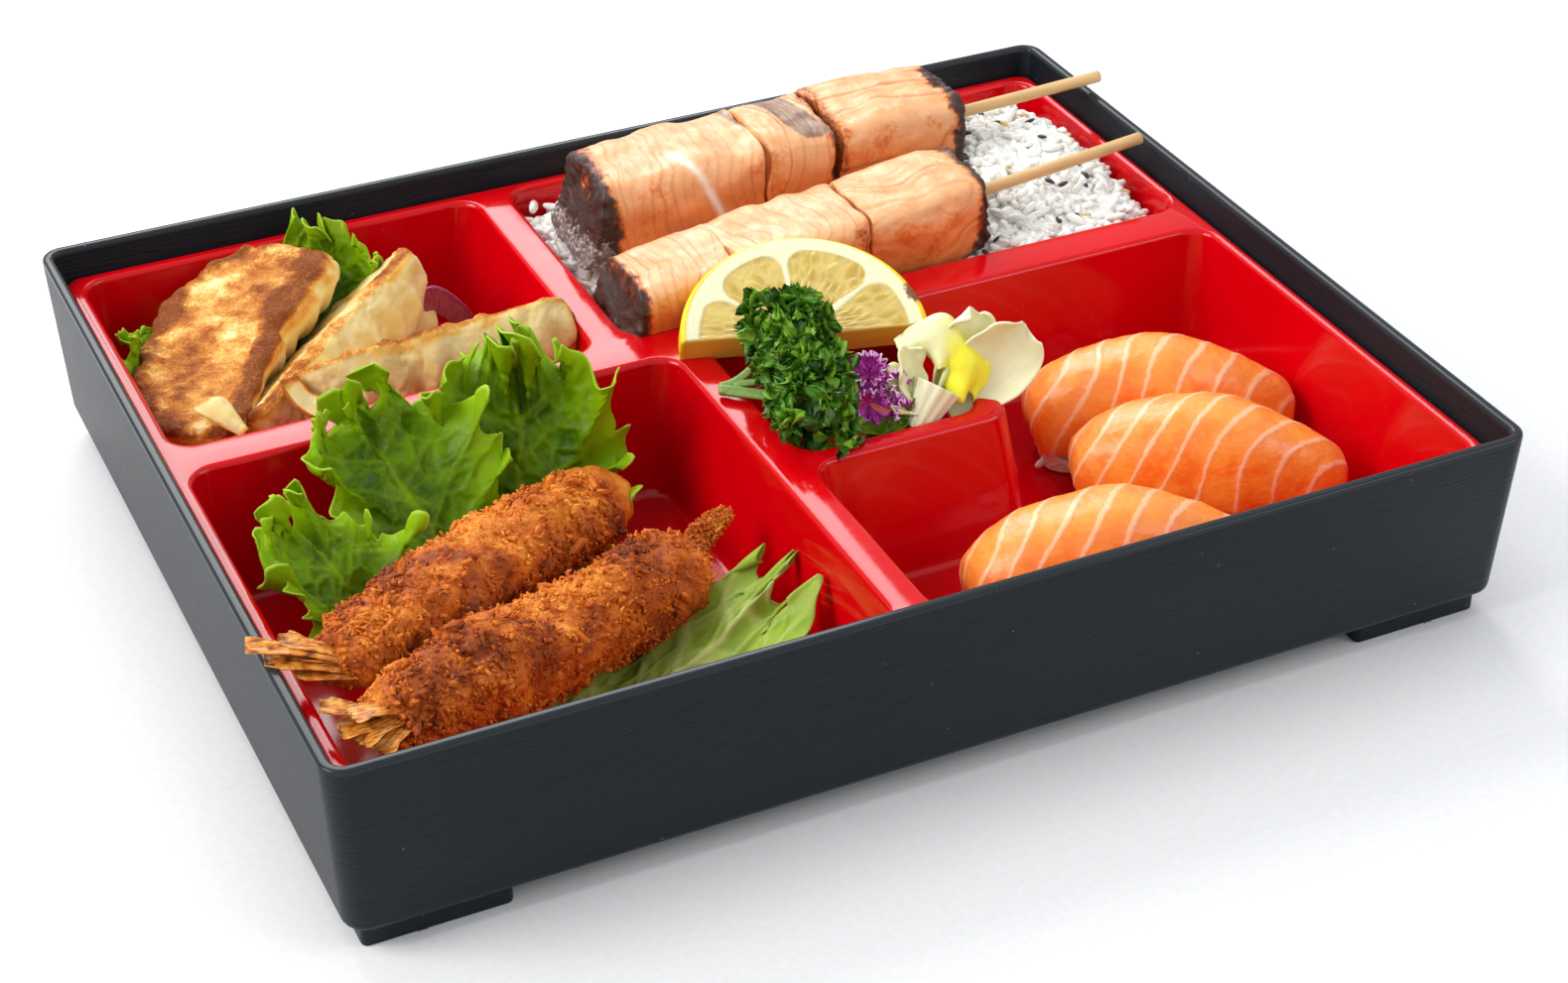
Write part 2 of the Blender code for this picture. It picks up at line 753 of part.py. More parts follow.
def blossom(name, material):
    """A flower as a closed trumpet: a narrow base that opens to a lobed, frilled mouth."""
    shape = BLOSSOMS[name]
    start, end = Vector(shape["base"]), Vector(shape["mouth"])
    profile = ((0.0, 0.16), (0.35, 0.30), (0.70, 0.55), (1.0, 1.0), (1.06, 0.96), (0.80, 0.42))
    rings = []
    for share, size in profile:
        ring = []
        for i in range(BLOSSOM_SIDES):
            turn = math.tau * i / BLOSSOM_SIDES
            lobe = 1 + 0.22 * size**2 * math.cos(shape["lobes"] * turn)
            rise = shape["frill"] * size**2 * math.cos(2 * shape["lobes"] * turn + 0.6)
            radius = shape["width"] / 2 * size * lobe
            along = (end - start).length * share + rise
            ring.append((along, radius * math.cos(turn), radius * math.sin(turn)))
        rings.append(ring)
    return loft(name, put(place(start, end - start, (0, 0, 1)), rings), material)


# ---- leaves ----


def leaf(name, material):
    """A lettuce leaf: a sheet along a curved rib, cupped, with a ruffled margin."""
    shape = LEAVES[name]
    waves = shape["waves"]
    upper, lower = [], []
    for i in range(LEAF_ROWS):
        share = i / (LEAF_ROWS - 1)
        half = shape["width"] / 2 * (0.55 + 0.45 * math.sin(math.pi * min(share * 0.8 + 0.12, 1.0)))
        row = []
        for j in range(LEAF_ROWS):
            across = -1 + 2 * j / (LEAF_ROWS - 1)
            margin = max(abs(across), (share - 0.6) / 0.4) ** 3
            wave = math.sin(waves * math.pi * share + 2.6 * across)
            notch = 1 + 0.10 * math.sin(2 * waves * math.pi * share + 5 * across)
            row.append((across * half * notch, shape["cup"] * across**2 + shape["ruffle"] * margin * wave))
        matrix = frame_on(shape["rib"], share)
        for grid, side in ((upper, LEAF_THICKNESS / 2), (lower, -LEAF_THICKNESS / 2)):
            grid += put(matrix, [[(0.0, y, z + side) for y, z in row]])
    return sheet(name, upper, lower, material)


LEAF_ROWS = 7
LEAF_THICKNESS = 1.4
LEAVES = {
    "lettuce_back": {
        "rib": ((-70.0, -16.0, 12.0), (-66.0, -4.0, 22.0), (-61.0, 7.0, 38.0), (-60.0, 13.5, 59.0)),
        "width": 52.0,
        "cup": 2.0,
        "ruffle": 4.0,
        "waves": 5,
    },
    "lettuce_left": {
        "rib": ((-88.0, -30.0, 14.0), (-94.0, -14.0, 26.0), (-99.0, 2.0, 38.0), (-103.0, 13.0, 56.0)),
        "width": 44.0,
        "cup": 3.0,
        "ruffle": 4.0,
        "waves": 4,
    },
    "lettuce_corner": {
        "rib": ((-104.0, -52.0, 16.0), (-118.0, -46.0, 28.0), (-128.0, -34.0, 40.0), (-134.0, -23.0, 51.0)),
        "width": 38.0,
        "cup": 3.0,
        "ruffle": 3.0,
        "waves": 4,
    },
    "lettuce_front": {
        "rib": ((-104.0, -100.0, 10.0), (-84.0, -92.0, 11.0), (-56.0, -80.0, 14.0), (-23.0, -70.0, 24.0)),
        "width": 50.0,
        "cup": 2.0,
        "ruffle": 1.6,
        "waves": 3,
    },
    "gyoza_lettuce_back": {
        "rib": ((-88.0, 88.0, 14.0), (-86.0, 96.0, 24.0), (-82.0, 106.0, 38.0), (-78.0, 110.0, 54.0)),
        "width": 38.0,
        "cup": 1.0,
        "ruffle": 2.5,
        "waves": 4,
    },
    "gyoza_lettuce_left": {
        "rib": ((-124.0, 76.0, 12.0), (-131.0, 79.0, 18.0), (-137.0, 84.0, 28.0), (-141.0, 86.0, 41.0)),
        "width": 44.0,
        "cup": 0.5,
        "ruffle": 1.6,
        "waves": 3,
    },
}


def onion_slice(material):
    """A thin curved slice of pickled onion standing against a dumpling."""
    upper, lower = [], []
    for i in range(6):
        turn = math.radians(20 + 140 * i / 5)
        top_row, low_row = [], []
        for j in range(4):
            radius = 22.0 + 3.5 * j
            x, z = -58.0 - radius * 0.5 * math.cos(turn), 10.0 + radius * math.sin(turn)
            top_row.append((x, 86.0 - 0.5 * j, z))
            low_row.append((x, 84.0 - 0.5 * j, z))
        upper.append(top_row)
        lower.append(low_row)
    return sheet("onion_slice", upper, lower, material)


def main():
    clear_scene()
    black = finish("black_plastic", (0.03, 0.035, 0.04), 0.35)
    red = finish("red_plastic", (0.58, 0.0, 0.0), 0.15)
    dough = finish("fried_dough", (0.75, 0.48, 0.20), 0.5)
    fish = finish("grilled_salmon", (0.85, 0.42, 0.20), 0.5)
    raw_fish = finish("raw_salmon", (0.95, 0.30, 0.05), 0.25)
    rice = finish("cooked_rice", (0.85, 0.83, 0.78), 0.4)
    wood = finish("bamboo", (0.78, 0.58, 0.32), 0.6)
    crumb = finish("fried_crumb", (0.55, 0.22, 0.05), 0.8)
    shell = finish("prawn_shell", (0.80, 0.36, 0.10), 0.3)
    green = finish("lettuce", (0.25, 0.48, 0.05), 0.4)
    dark_green = finish("parsley_leaf", (0.04, 0.16, 0.02), 0.5)
    lemon = finish("lemon", (0.90, 0.68, 0.10), 0.3)
    purple = finish("purple_petal", (0.45, 0.05, 0.45), 0.5)
    yellow = finish("yellow_petal", (0.92, 0.88, 0.35), 0.5)
    onion = finish("pickled_onion", (0.50, 0.16, 0.24), 0.3)

    pieces = [outer_box(black), tray(red)]
    for piece in pieces:
        bake(piece)
    pieces += [skewer(row, wood) for row in SKEWERS]
    pieces += [gyoza(name, dough) for name in ("gyoza_front", "gyoza_left", "gyoza_middle")]
    pieces += [salmon_chunk(name, fish) for name in CHUNKS]
    pieces += [prawn(name, crumb) for name in PRAWNS]
    pieces += [prawn_tail(name, shell) for name in TAILS]
    pieces += [nigiri_slice(name, raw_fish) for name in NIGIRI]
    pieces += [nigiri_rice(name, rice) for name in NIGIRI]
    pieces += [lemon_slice(lemon), parsley(dark_green)]
    pieces += [blossom("yellow_flower", yellow), blossom("purple_flower", purple)]
    pieces.append(rice_bed(rice))
    pieces += [leaf(name, green) for name in LEAVES]
    pieces.append(onion_slice(onion))
    settle(pieces)


main()
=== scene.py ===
"""Bento box meal: the finished look of a black box, its red tray and the food in it.

Sizes and places are in millimetres, as a maker would measure them; MM turns them into metres.
+X runs right along the box's long side, +Y to its back and +Z up.
"""

import math

import bmesh
import bpy
import numpy as np
from mathutils import Matrix, Vector


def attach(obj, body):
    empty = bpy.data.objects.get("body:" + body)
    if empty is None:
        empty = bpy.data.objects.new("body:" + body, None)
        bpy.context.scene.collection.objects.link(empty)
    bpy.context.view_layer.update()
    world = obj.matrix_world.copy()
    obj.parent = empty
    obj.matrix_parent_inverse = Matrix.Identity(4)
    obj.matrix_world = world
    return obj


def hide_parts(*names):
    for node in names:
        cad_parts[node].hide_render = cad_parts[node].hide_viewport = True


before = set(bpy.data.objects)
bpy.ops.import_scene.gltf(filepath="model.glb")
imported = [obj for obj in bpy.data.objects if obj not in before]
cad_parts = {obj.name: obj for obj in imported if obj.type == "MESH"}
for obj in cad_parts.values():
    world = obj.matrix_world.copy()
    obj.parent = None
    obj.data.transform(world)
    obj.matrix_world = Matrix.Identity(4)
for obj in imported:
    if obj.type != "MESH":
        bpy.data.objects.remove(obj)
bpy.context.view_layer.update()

MM = 0.001


# ---- camera and light ----

CAMERA_AT = (-0.2748, -0.6072, 0.4489)
CAMERA_TURN = math.radians(-25.168)
CAMERA_DOWN = math.radians(33.567)
CAMERA_ROLL = math.radians(-0.2)
CAMERA_LENS = 68.52


def add_camera():
    away = Vector((
        math.sin(CAMERA_TURN) * math.cos(CAMERA_DOWN),
        -math.cos(CAMERA_TURN) * math.cos(CAMERA_DOWN),
        math.sin(CAMERA_DOWN),
    ))
    right = (-away).cross(Vector((0, 0, 1))).normalized()
    up = right.cross(-away)
    turned = Matrix((right, up, away)).transposed() @ Matrix.Rotation(CAMERA_ROLL, 3, "Z")
    bpy.ops.object.camera_add(location=CAMERA_AT)
    camera = bpy.context.object
    camera.rotation_euler = turned.to_euler()
    camera.data.lens = CAMERA_LENS
    camera.data.sensor_width = 36.0
    camera.data.clip_start = 0.01
    bpy.context.scene.camera = camera


def add_lamp(name, at, aim, size, power):
    """A rectangular soft box at a place in metres, facing another."""
    bpy.ops.object.light_add(type="AREA", location=at)
    lamp = bpy.context.object
    lamp.name = name
    lamp.rotation_euler = (Vector(at) - Vector(aim)).to_track_quat("Z", "Y").to_euler()
    lamp.data.shape = "RECTANGLE"
    lamp.data.size, lamp.data.size_y = size
    lamp.data.energy = power


def add_studio():
    bpy.context.scene.view_settings.view_transform = "Standard"
    world = bpy.data.worlds.new("studio")
    bpy.context.scene.world = world
    world.use_nodes = True
    backdrop = world.node_tree.nodes["Background"]
    backdrop.inputs["Color"].default_value = (0.93, 0.96, 1.0, 1.0)
    backdrop.inputs["Strength"].default_value = 0.69
    middle = (0.0, 0.0, 0.03)
    add_lamp("back_light", (0.10, 1.15, 1.0), middle, (1.0, 0.75), 14.5)
    add_lamp("left_light", (-1.3, 0.1, 1.1), middle, (0.9, 0.9), 21.0)
    add_lamp("front_fill", (1.35, -1.1, 1.15), middle, (1.2, 0.8), 9.0)


# ---- modelling tools ----

SAME_HEIGHT = 0.05
SMOOTH_BELOW = math.radians(35.0)


def done():
    if bpy.context.mode != "OBJECT":
        bpy.ops.object.mode_set(mode="OBJECT")


def deselect():
    done()
    bpy.ops.object.select_all(action="DESELECT")


def take(piece):
    """Makes the piece the one that operators work on."""
    deselect()
    piece.select_set(True)
    bpy.context.view_layer.objects.active = piece


def added(name):
    piece = bpy.context.object
    piece.name = name
    piece.data.name = name
    return piece


def block(name, low, high):
    """A box between two corners."""
    deselect()
    middle = [(a + b) / 2 * MM for a, b in zip(low, high)]
    size = [(b - a) * MM for a, b in zip(low, high)]
    bpy.ops.mesh.primitive_cube_add(size=1, location=middle, scale=size)
    piece = added(name)
    take(piece)
    bpy.ops.object.transform_apply(location=True, rotation=True, scale=True)
    return piece


def pick(piece, kind, rule):
    """Goes into edit mode and selects the parts of this kind that the rule is true for."""
    take(piece)
    bpy.ops.object.mode_set(mode="EDIT")
    bpy.ops.mesh.select_mode(type=kind)
    bpy.ops.mesh.select_all(action="DESELECT")
    shape = bmesh.from_edit_mesh(piece.data)
    parts = {"VERT": shape.verts, "EDGE": shape.edges, "FACE": shape.faces}[kind]
    for part in parts:
        part.select_set(bool(rule(part)))
    shape.select_flush_mode()
    bmesh.update_edit_mesh(piece.data)


def ends(edge):
    return [vert.co / MM for vert in edge.verts]


def at_height(height):
    """A rule for edges or faces that lie at this height."""
    return lambda part: all(abs(vert.co.z / MM - height) < SAME_HEIGHT for vert in part.verts)


def rising(edge):
    """A rule for edges that run from one height to another more than sideways."""
    low, high = ends(edge)
    return abs(high.z - low.z) > 2.0 * math.hypot(high.x - low.x, high.y - low.y)


def bevel_picked(width, segments):
    bpy.ops.mesh.bevel(offset=width * MM, segments=segments, affect="EDGES")


def use(piece, kind, **settings):
    """Adds a modifier with these settings and applies it."""
    take(piece)
    change = piece.modifiers.new(kind.lower(), kind)
    for name, value in settings.items():
        setattr(change, name, value)
    bpy.ops.object.modifier_apply(modifier=change.name)


def cut(piece, other, operation="DIFFERENCE"):
    """Cuts or joins the piece with another, which is then removed."""
    use(piece, "BOOLEAN", object=other, operation=operation, solver="EXACT")
    bpy.data.objects.remove(other, do_unlink=True)


def points_of(piece):
    points = np.empty(len(piece.data.vertices) * 3)
    piece.data.vertices.foreach_get("co", points)
    return points.reshape(-1, 3) / MM


def put_points(piece, points):
    piece.data.vertices.foreach_set("co", (points * MM).reshape(-1))
    piece.data.update()


def move_points(piece, rule):
    """Moves the mesh's points to where rule(points) says, in millimetres."""
    done()
    put_points(piece, rule(points_of(piece)))


def smooth(piece):
    """Smooth shading, except over sharp edges."""
    take(piece)
    bpy.ops.object.shade_smooth_by_angle(angle=SMOOTH_BELOW)


def face_out(piece):
    pick(piece, "FACE", lambda face: True)
    bpy.ops.mesh.normals_make_consistent(inside=False)
    done()


# ---- finishes ----


class Value:
    """A shader socket that can stand in a Python sum."""

    def __init__(self, finish, socket):
        self.finish = finish
        self.socket = socket

    def math(self, operation, *others):
        return self.finish.add("ShaderNodeMath", {"operation": operation}, [self, *others])

    def __add__(self, other):
        return self.math("ADD", other)

    def __mul__(self, other):
        return self.math("MULTIPLY", other)

    def __sub__(self, other):
        return self.math("SUBTRACT", other)

    def __rsub__(self, other):
        return self.finish.add("ShaderNodeMath", {"operation": "SUBTRACT"}, [other, self])

    def __truediv__(self, other):
        return self.math("DIVIDE", other)

    __radd__ = __add__
    __rmul__ = __mul__


def set_stops(ramp, stops):
    """Gives a colour ramp these places and colours."""
    while len(ramp.elements) < len(stops):
        ramp.elements.new(0.5)
    for element, (place, colour) in zip(ramp.elements, stops):
        element.position = place
        element.color = (*colour, 1.0)


class Finish:
    """One material, written node by node."""

    def __init__(self, name):
        self.material = bpy.data.materials.new(name)
        self.material.use_nodes = True
        self.tree = self.material.node_tree
        self.shader = self.tree.nodes["Principled BSDF"]

    def add(self, kind, settings=None, sockets=(), output=0):
        """A node of this type: its settings first, then its sockets in order or by name."""
        node = self.tree.nodes.new(kind)
        for name, value in (settings or {}).items():
            if name == "stops":
                set_stops(node.color_ramp, value)
            else:
                setattr(node, name, value)
        named = sockets.items() if isinstance(sockets, dict) else enumerate(sockets)
        for key, value in named:
            self.join(value, node.inputs[key])
        return Value(self, node.outputs[output])

    def join(self, value, socket):
        if isinstance(value, Value):
            self.tree.links.new(value.socket, socket)
        elif socket.type == "RGBA" and len(value) == 3:
            socket.default_value = (*value, 1.0)
        else:
            socket.default_value = value

    def set(self, **sockets):
        """Sets the shader's sockets; an underscore in a name is a space."""
        for name, value in sockets.items():
            self.join(value, self.shader.inputs[name.replace("_", " ")])

    def place(self, stretch=(1.0, 1.0, 1.0)):
        """Where on the piece, in millimetres, stretched along each axis."""
        where = self.add("ShaderNodeTexCoord", output="Object")
        scale = [1000.0 * share for share in stretch]
        return self.add("ShaderNodeVectorMath", {"operation": "MULTIPLY"}, [where, scale])

    def cloud(self, size, where=None, detail=3.0, rough=0.5):
        """Soft noise, 0 to 1, whose lumps are this many millimetres wide."""
        sockets = {
            "Vector": where or self.place(),
            "Scale": 1.0 / size,
            "Detail": detail,
            "Roughness": rough,
        }
        return self.add("ShaderNodeTexNoise", {}, sockets)

    def cells(self, size):
        """Distance to the nearest of many scattered points, this many millimetres apart."""
        sockets = {"Vector": self.place(), "Scale": 1.0 / size}
        return self.add("ShaderNodeTexVoronoi", {"feature": "F1"}, sockets)

    def spread(self, value, low, high, to_low=0.0, to_high=1.0):
        """The value's range low to high, stretched to another range and held inside it."""
        sockets = [value, low, high, to_low, to_high]
        return self.add("ShaderNodeMapRange", {"interpolation_type": "SMOOTHSTEP"}, sockets)

    def mix(self, share, first, second, blend="MIX"):
        settings = {"data_type": "RGBA", "blend_type": blend}
        return self.add("ShaderNodeMix", settings, {0: share, 6: first, 7: second}, output=2)

    def ramp(self, value, *stops):
        return self.add("ShaderNodeValToRGB", {"stops": stops}, [value])

    def mark(self, name):
        """A value painted on the mesh's points."""
        return self.add("ShaderNodeAttribute", {"attribute_name": name}, output="Fac")

    def relief(self, height, depth, strength=1.0):
        """Bumps of this many millimetres, from a height of 0 to 1."""
        sockets = {"Height": height, "Distance": depth * MM, "Strength": strength}
        self.set(Normal=self.add("ShaderNodeBump", {}, sockets))

    def soak(self, share, colours, reach):
        """Lets light soak in: this share of it, this far for each colour, in millimetres."""
        self.set(Subsurface_Weight=share, Subsurface_Radius=colours, Subsurface_Scale=reach * MM)

    def on(self, piece):
        piece.data.materials.clear()
        piece.data.materials.append(self.material)


def finished(piece, finish, slot, *nodes):
    """The last step for every piece: it gets its finish, rides on the box, and stands for
    these nodes."""
    finish.on(piece)
    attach(piece, "root")
    if nodes:
        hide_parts(*nodes)


# ---- the outer box ----

BOX_HALF = (155.0, 126.0)
BOX_HEIGHT = 54.4
BOX_LEAN = 2.2
BOX_CORNER = 6.0
RIM_WIDTH = 3.0
RIM_ROUND = 1.1
WALL_FOOT = 6.4
BASE_UNDERSIDE = 4.0
BASE_TOP = 6.2
FOOT_OUTER = (149.2, 120.2)
FOOT_LENGTH = 36.0
FOOT_WIDTH = 14.0


def box_plastic():
    """Black plastic, embossed with fine wood grain along the walls, glossy on the rim, whose colour
    carries a painted highlight in a lighter grey.
    """
    finish = Finish("black_grained_plastic")
    drift = finish.cloud(60.0, finish.place((0.3, 0.3, 1.0)), 2.0)
    wave = finish.cloud(9.0, finish.place((0.12, 0.12, 1.0)), 3.0, 0.55)
    height = finish.add("ShaderNodeSeparateXYZ", {}, [finish.place()], output="Z")
    rows = (height + wave * 9.0 + drift * 6.0) * 4.6
    ridges = rows.math("SINE") * 0.5 + 0.5
    threads = finish.cloud(0.55, finish.place((0.035, 0.035, 1.0)), 2.0, 0.6)
    pores = finish.spread(finish.cloud(1.1, finish.place((0.10, 0.10, 1.0)), 2.0), 0.60, 0.72)
    grain = ridges * 0.22 + threads * 0.90 - pores * 0.6
    rim = finish.spread(height, BOX_HEIGHT - 1.6, BOX_HEIGHT - 0.9)
    grain_here = grain * (1.0 - rim)
    dust = finish.spread(finish.cells(7.0), 0.045, 0.02)
    base = finish.ramp(drift, (0.3, (0.0035, 0.0055, 0.0078)), (0.7, (0.0075, 0.0105, 0.0145)))
    tint = finish.mix(grain_here * 0.35, base, (0.018, 0.024, 0.031))
    # painted highlight: the rim is painted a lighter grey than the walls
    tint = finish.mix(rim * 0.7, tint, (0.030, 0.035, 0.040))
    finish.set(
        Base_Color=finish.mix(dust * 0.35, tint, (0.35, 0.36, 0.38)),
        Roughness=finish.spread(rim, 0.0, 1.0, 0.36, 0.12) + threads * 0.08 * (1.0 - rim),
        Specular_IOR_Level=0.18,
    )
    finish.relief(grain_here, 0.13, 0.9)
    return finish


def outer_box():
    half_x, half_y = BOX_HALF
    box = block("outer_box_shell", (-half_x, -half_y, WALL_FOOT), (half_x, half_y, BOX_HEIGHT))
    lean = Vector(((half_x - BOX_LEAN) / half_x, (half_y - BOX_LEAN) / half_y, 1.0))
    pick(box, "FACE", at_height(WALL_FOOT))
    bpy.ops.transform.resize(value=lean)
    pick(box, "EDGE", rising)
    bevel_picked(BOX_CORNER, 8)
    pick(box, "EDGE", at_height(WALL_FOOT))
    bevel_picked(2.6, 5)
    pick(box, "FACE", at_height(WALL_FOOT))
    base_drop = (WALL_FOOT - BASE_UNDERSIDE) * MM
    bpy.ops.mesh.extrude_region_move(TRANSFORM_OT_translate={"value": (0, 0, -base_drop)})
    bpy.ops.transform.resize(value=(0.957, 0.947, 1.0))
    pick(box, "FACE", at_height(BOX_HEIGHT))
    bpy.ops.mesh.inset(thickness=RIM_WIDTH * MM)
    drop = (BOX_HEIGHT - BASE_TOP) * MM
    bpy.ops.mesh.extrude_region_move(TRANSFORM_OT_translate={"value": (0, 0, -drop)})
    bpy.ops.transform.resize(value=(0.970, 0.964, 1.0))
    pick(box, "EDGE", lambda edge: at_height(BOX_HEIGHT)(edge) and on_rim_edge(edge))
    bevel_picked(RIM_ROUND, 5)
    for side_x in (-1, 1):
        for side_y in (-1, 1):
            cut(box, foot(side_x, side_y), "UNION")
    smooth(box)
    finished(box, box_plastic(), "black_plastic", "outer_box")


def on_rim_edge(edge):
    """True for the rim's outer and inner outlines, which have one flat and one steep side."""
    slopes = [abs(face.normal.z) for face in edge.link_faces]
    return max(slopes) > 0.9 and min(slopes) < 0.5


def foot(side_x, side_y):
    """An L-shaped foot under a corner, with rounded ends."""
    corner_x, corner_y = FOOT_OUTER
    arm = block("foot", (0, 0, 0), (FOOT_LENGTH, FOOT_WIDTH, BASE_TOP - 0.6))
    cut(arm, block("arm", (0, 0, 0), (FOOT_WIDTH, FOOT_LENGTH, BASE_TOP - 0.6)), "UNION")
    pick(arm, "EDGE", rising)
    bevel_picked(1.6, 3)
    pick(arm, "EDGE", at_height(0.0))
    bevel_picked(0.5, 2)
    corner = np.array([side_x * corner_x, side_y * corner_y, 0.0])
    turn = np.array([-side_x, -side_y, 1.0])
    move_points(arm, lambda points: corner + points * turn)
    face_out(arm)
    return arm


# ---- the tray ----

TRAY_HALF = (150.5, 121.6)
TRAY_TOP = 46.4
TRAY_UNDERSIDE = 6.5
TRAY_FLOOR = 8.0
GARNISH_FLOOR = 30.0
LIP_ROUND = 1.6
FLOOR_ROUND = 2.4
POCKET_CORNER = 7.0
OUTER_DRAFT = 1.5
INNER_DRAFT = 4.5
STEP = (51.5, -50.3)

# Each pocket's left, right, front and back edge at the top, and the draft of each side.
POCKETS = {
    "gyoza": ((-146.0, -32.5, 25.0, 117.5), (OUTER_DRAFT, INNER_DRAFT, INNER_DRAFT, OUTER_DRAFT)),
    "rice": ((-22.5, 147.2, 26.5, 117.7), (INNER_DRAFT, OUTER_DRAFT, INNER_DRAFT, OUTER_DRAFT)),
    "prawn": ((-146.4, -15.3, -117.7, 13.0), (OUTER_DRAFT, INNER_DRAFT, OUTER_DRAFT, INNER_DRAFT)),
    "sushi": ((-5.6, 147.0, -117.7, 13.2), (INNER_DRAFT, OUTER_DRAFT, OUTER_DRAFT, INNER_DRAFT)),
    "garnish": ((-5.6, 45.7, -44.5, 13.2), (1.5, 1.5, 1.5, 1.5)),
}


def drafted_block(name, edges, drafts, floor, top=TRAY_TOP + 6.0):
    """A block that narrows downwards by a draft on each side."""
    left, right, front, back = edges
    cutter = block(name, (left, front, floor), (right, back, top))
    middle_x, middle_y = (left + right) / 2, (front + back) / 2
    depth = TRAY_TOP - floor

    def narrow(points):
        share = np.minimum((TRAY_TOP - points[:, 2]) / depth, 1.0)
        on_left, on_front = points[:, 0] < middle_x, points[:, 1] < middle_y
        points[:, 0] += share * np.where(on_left, drafts[0], -drafts[1])
        points[:, 1] += share * np.where(on_front, drafts[2], -drafts[3])
        return points

    move_points(cutter, narrow)
    return cutter


def pocket(name):
    edges, drafts = POCKETS[name]
    floor = GARNISH_FLOOR if name == "garnish" else TRAY_FLOOR
    cutter = drafted_block(name, edges, drafts, floor)
    if name == "sushi":
        corner = (edges[0] - 20.0, STEP[0], STEP[1], edges[3] + 20.0)
        step_drafts = (0.0, -7.0, -INNER_DRAFT, 0.0)
        cut(cutter, drafted_block("step", corner, step_drafts, floor - 1.0, TRAY_TOP + 7.0))
    pick(cutter, "EDGE", rising)
    bevel_picked(POCKET_CORNER, 8)
    pick(cutter, "EDGE", at_height(floor))
    bevel_picked(FLOOR_ROUND, 6)
    return cutter


def tray_plastic():
    """Glossy red plastic with faint moulding waves, dust and fine scratches."""
    finish = Finish("glossy_red_plastic")
    waves = finish.cloud(35.0, detail=2.0)
    scratches = finish.cloud(0.8, finish.place((0.05, 1.0, 1.0)), 2.0)
    specks = finish.spread(finish.cells(4.5), 0.050, 0.024)
    patches = finish.spread(finish.cloud(14.0), 0.48, 0.62)
    dust = specks * patches
    red = finish.ramp(waves, (0.3, (0.57, 0.0, 0.003)), (0.7, (0.64, 0.0, 0.005)))
    finish.set(
        Base_Color=finish.mix(dust * 0.5, red, (0.72, 0.22, 0.14)),
        Roughness=finish.spread(scratches, 0.4, 0.75, 0.085, 0.16) + dust * 0.3,
        Specular_IOR_Level=0.34,
    )
    finish.relief(waves + dust * 0.02, 0.35, 0.5)
    return finish


def insert_tray():
    half_x, half_y = TRAY_HALF
    tray = block("red_tray", (-half_x, -half_y, TRAY_UNDERSIDE), (half_x, half_y, TRAY_TOP))
    pick(tray, "FACE", at_height(TRAY_UNDERSIDE))
    bpy.ops.transform.resize(value=((half_x - 2.8) / half_x, (half_y - 2.8) / half_y, 1.0))
    pick(tray, "EDGE", rising)
    bevel_picked(5.0, 6)
    done()
    for name in POCKETS:
        cut(tray, pocket(name))
    pick(tray, "EDGE", lambda edge: at_height(TRAY_TOP)(edge) and on_rim_edge(edge))
    bevel_picked(LIP_ROUND, 6)
    smooth(tray)
    finished(tray, tray_plastic(), "red_plastic", "insert_tray")


# ---- food modelling tools ----


def unit(vectors):
    return vectors / np.maximum(np.linalg.norm(vectors, axis=-1, keepdims=True), 1e-9)


def held(value):
    """The value, held between 0 and 1."""
    return np.clip(value, 0.0, 1.0)


def step_up(value, low, high):
    """0 below low, 1 above high and a soft rise between."""
    share = held((value - low) / (high - low))
    return share * share * (3.0 - 2.0 * share)


def crest(value, width=1.0):
    """1 where the value is 0, falling softly to either side over this width."""
    return np.exp(-((value / width) ** 2))


def rounded(share, start, length, power):
    """1 up to `start`, then falling in a round curve to 0 over `length`."""
    return np.sqrt(held(1.0 - held((share - start) / length) ** power))


def scramble(cells, seed):
    """A random number from 0 to 1 for each whole-numbered cell."""
    mixed = cells[..., 0] * 73856093 ^ cells[..., 1] * 19349663 ^ cells[..., 2] * 83492791
    mixed = (mixed + seed * 7919) & 0x7FFFFFFF
    mixed = ((mixed ^ (mixed >> 13)) * 60493) & 0x7FFFFFFF
    mixed = ((mixed ^ (mixed >> 11)) * 19990303) & 0x7FFFFFFF
    return (mixed ^ (mixed >> 15)) % 65536 / 65535.0


CORNERS = [(i, j, k) for i in (0, 1) for j in (0, 1) for k in (0, 1)]


def lump(points, size, seed=0):
    """Smooth noise between -1 and 1, whose lumps are this many millimetres wide."""
    spot = points / size + 500.0
    cell = np.floor(spot).astype(np.int64)
    part = spot - cell
    part = part * part * (3.0 - 2.0 * part)
    total = np.zeros(spot.shape[:-1])
    for corner in CORNERS:
        weight = np.prod(np.where(corner, part, 1.0 - part), axis=-1)
        total += weight * scramble(cell + corner, seed)
    return 2.0 * total - 1.0


def rough(points, size, seed=0):
    """Lumps with smaller lumps on them."""
    return sum(0.5**k * lump(points, size / 2.1**k, seed + 31 * k) for k in range(4)) / 1.6


def shaken(points, amount, size):
    """The points, each moved up to this far by noise of its own along each axis."""
    return points + amount * np.stack([lump(points, size, seed) for seed in (1, 2, 3)], -1)


def cell_gap(points, size, seed=0):
    """Scattered cells: the distance to the nearest seed point, and to the cell's wall."""
    spot = points / size + 500.0
    cell = np.floor(spot).astype(np.int64)
    first = np.full(spot.shape[:-1], 9.0)
    second = first.copy()
    for i in (-1, 0, 1):
        for j in (-1, 0, 1):
            for k in (-1, 0, 1):
                near = cell + (i, j, k)
                jitter = np.stack([scramble(near, seed + 11 * axis) for axis in range(3)], -1)
                gap = np.linalg.norm(near + jitter - spot, axis=-1)
                second = np.minimum(second, np.maximum(first, gap))
                first = np.minimum(first, gap)
    return first, second - first


def spots(*axes):
    """Points from their coordinates, any of which may be one number for them all."""
    return np.stack(np.broadcast_arrays(*axes), -1)


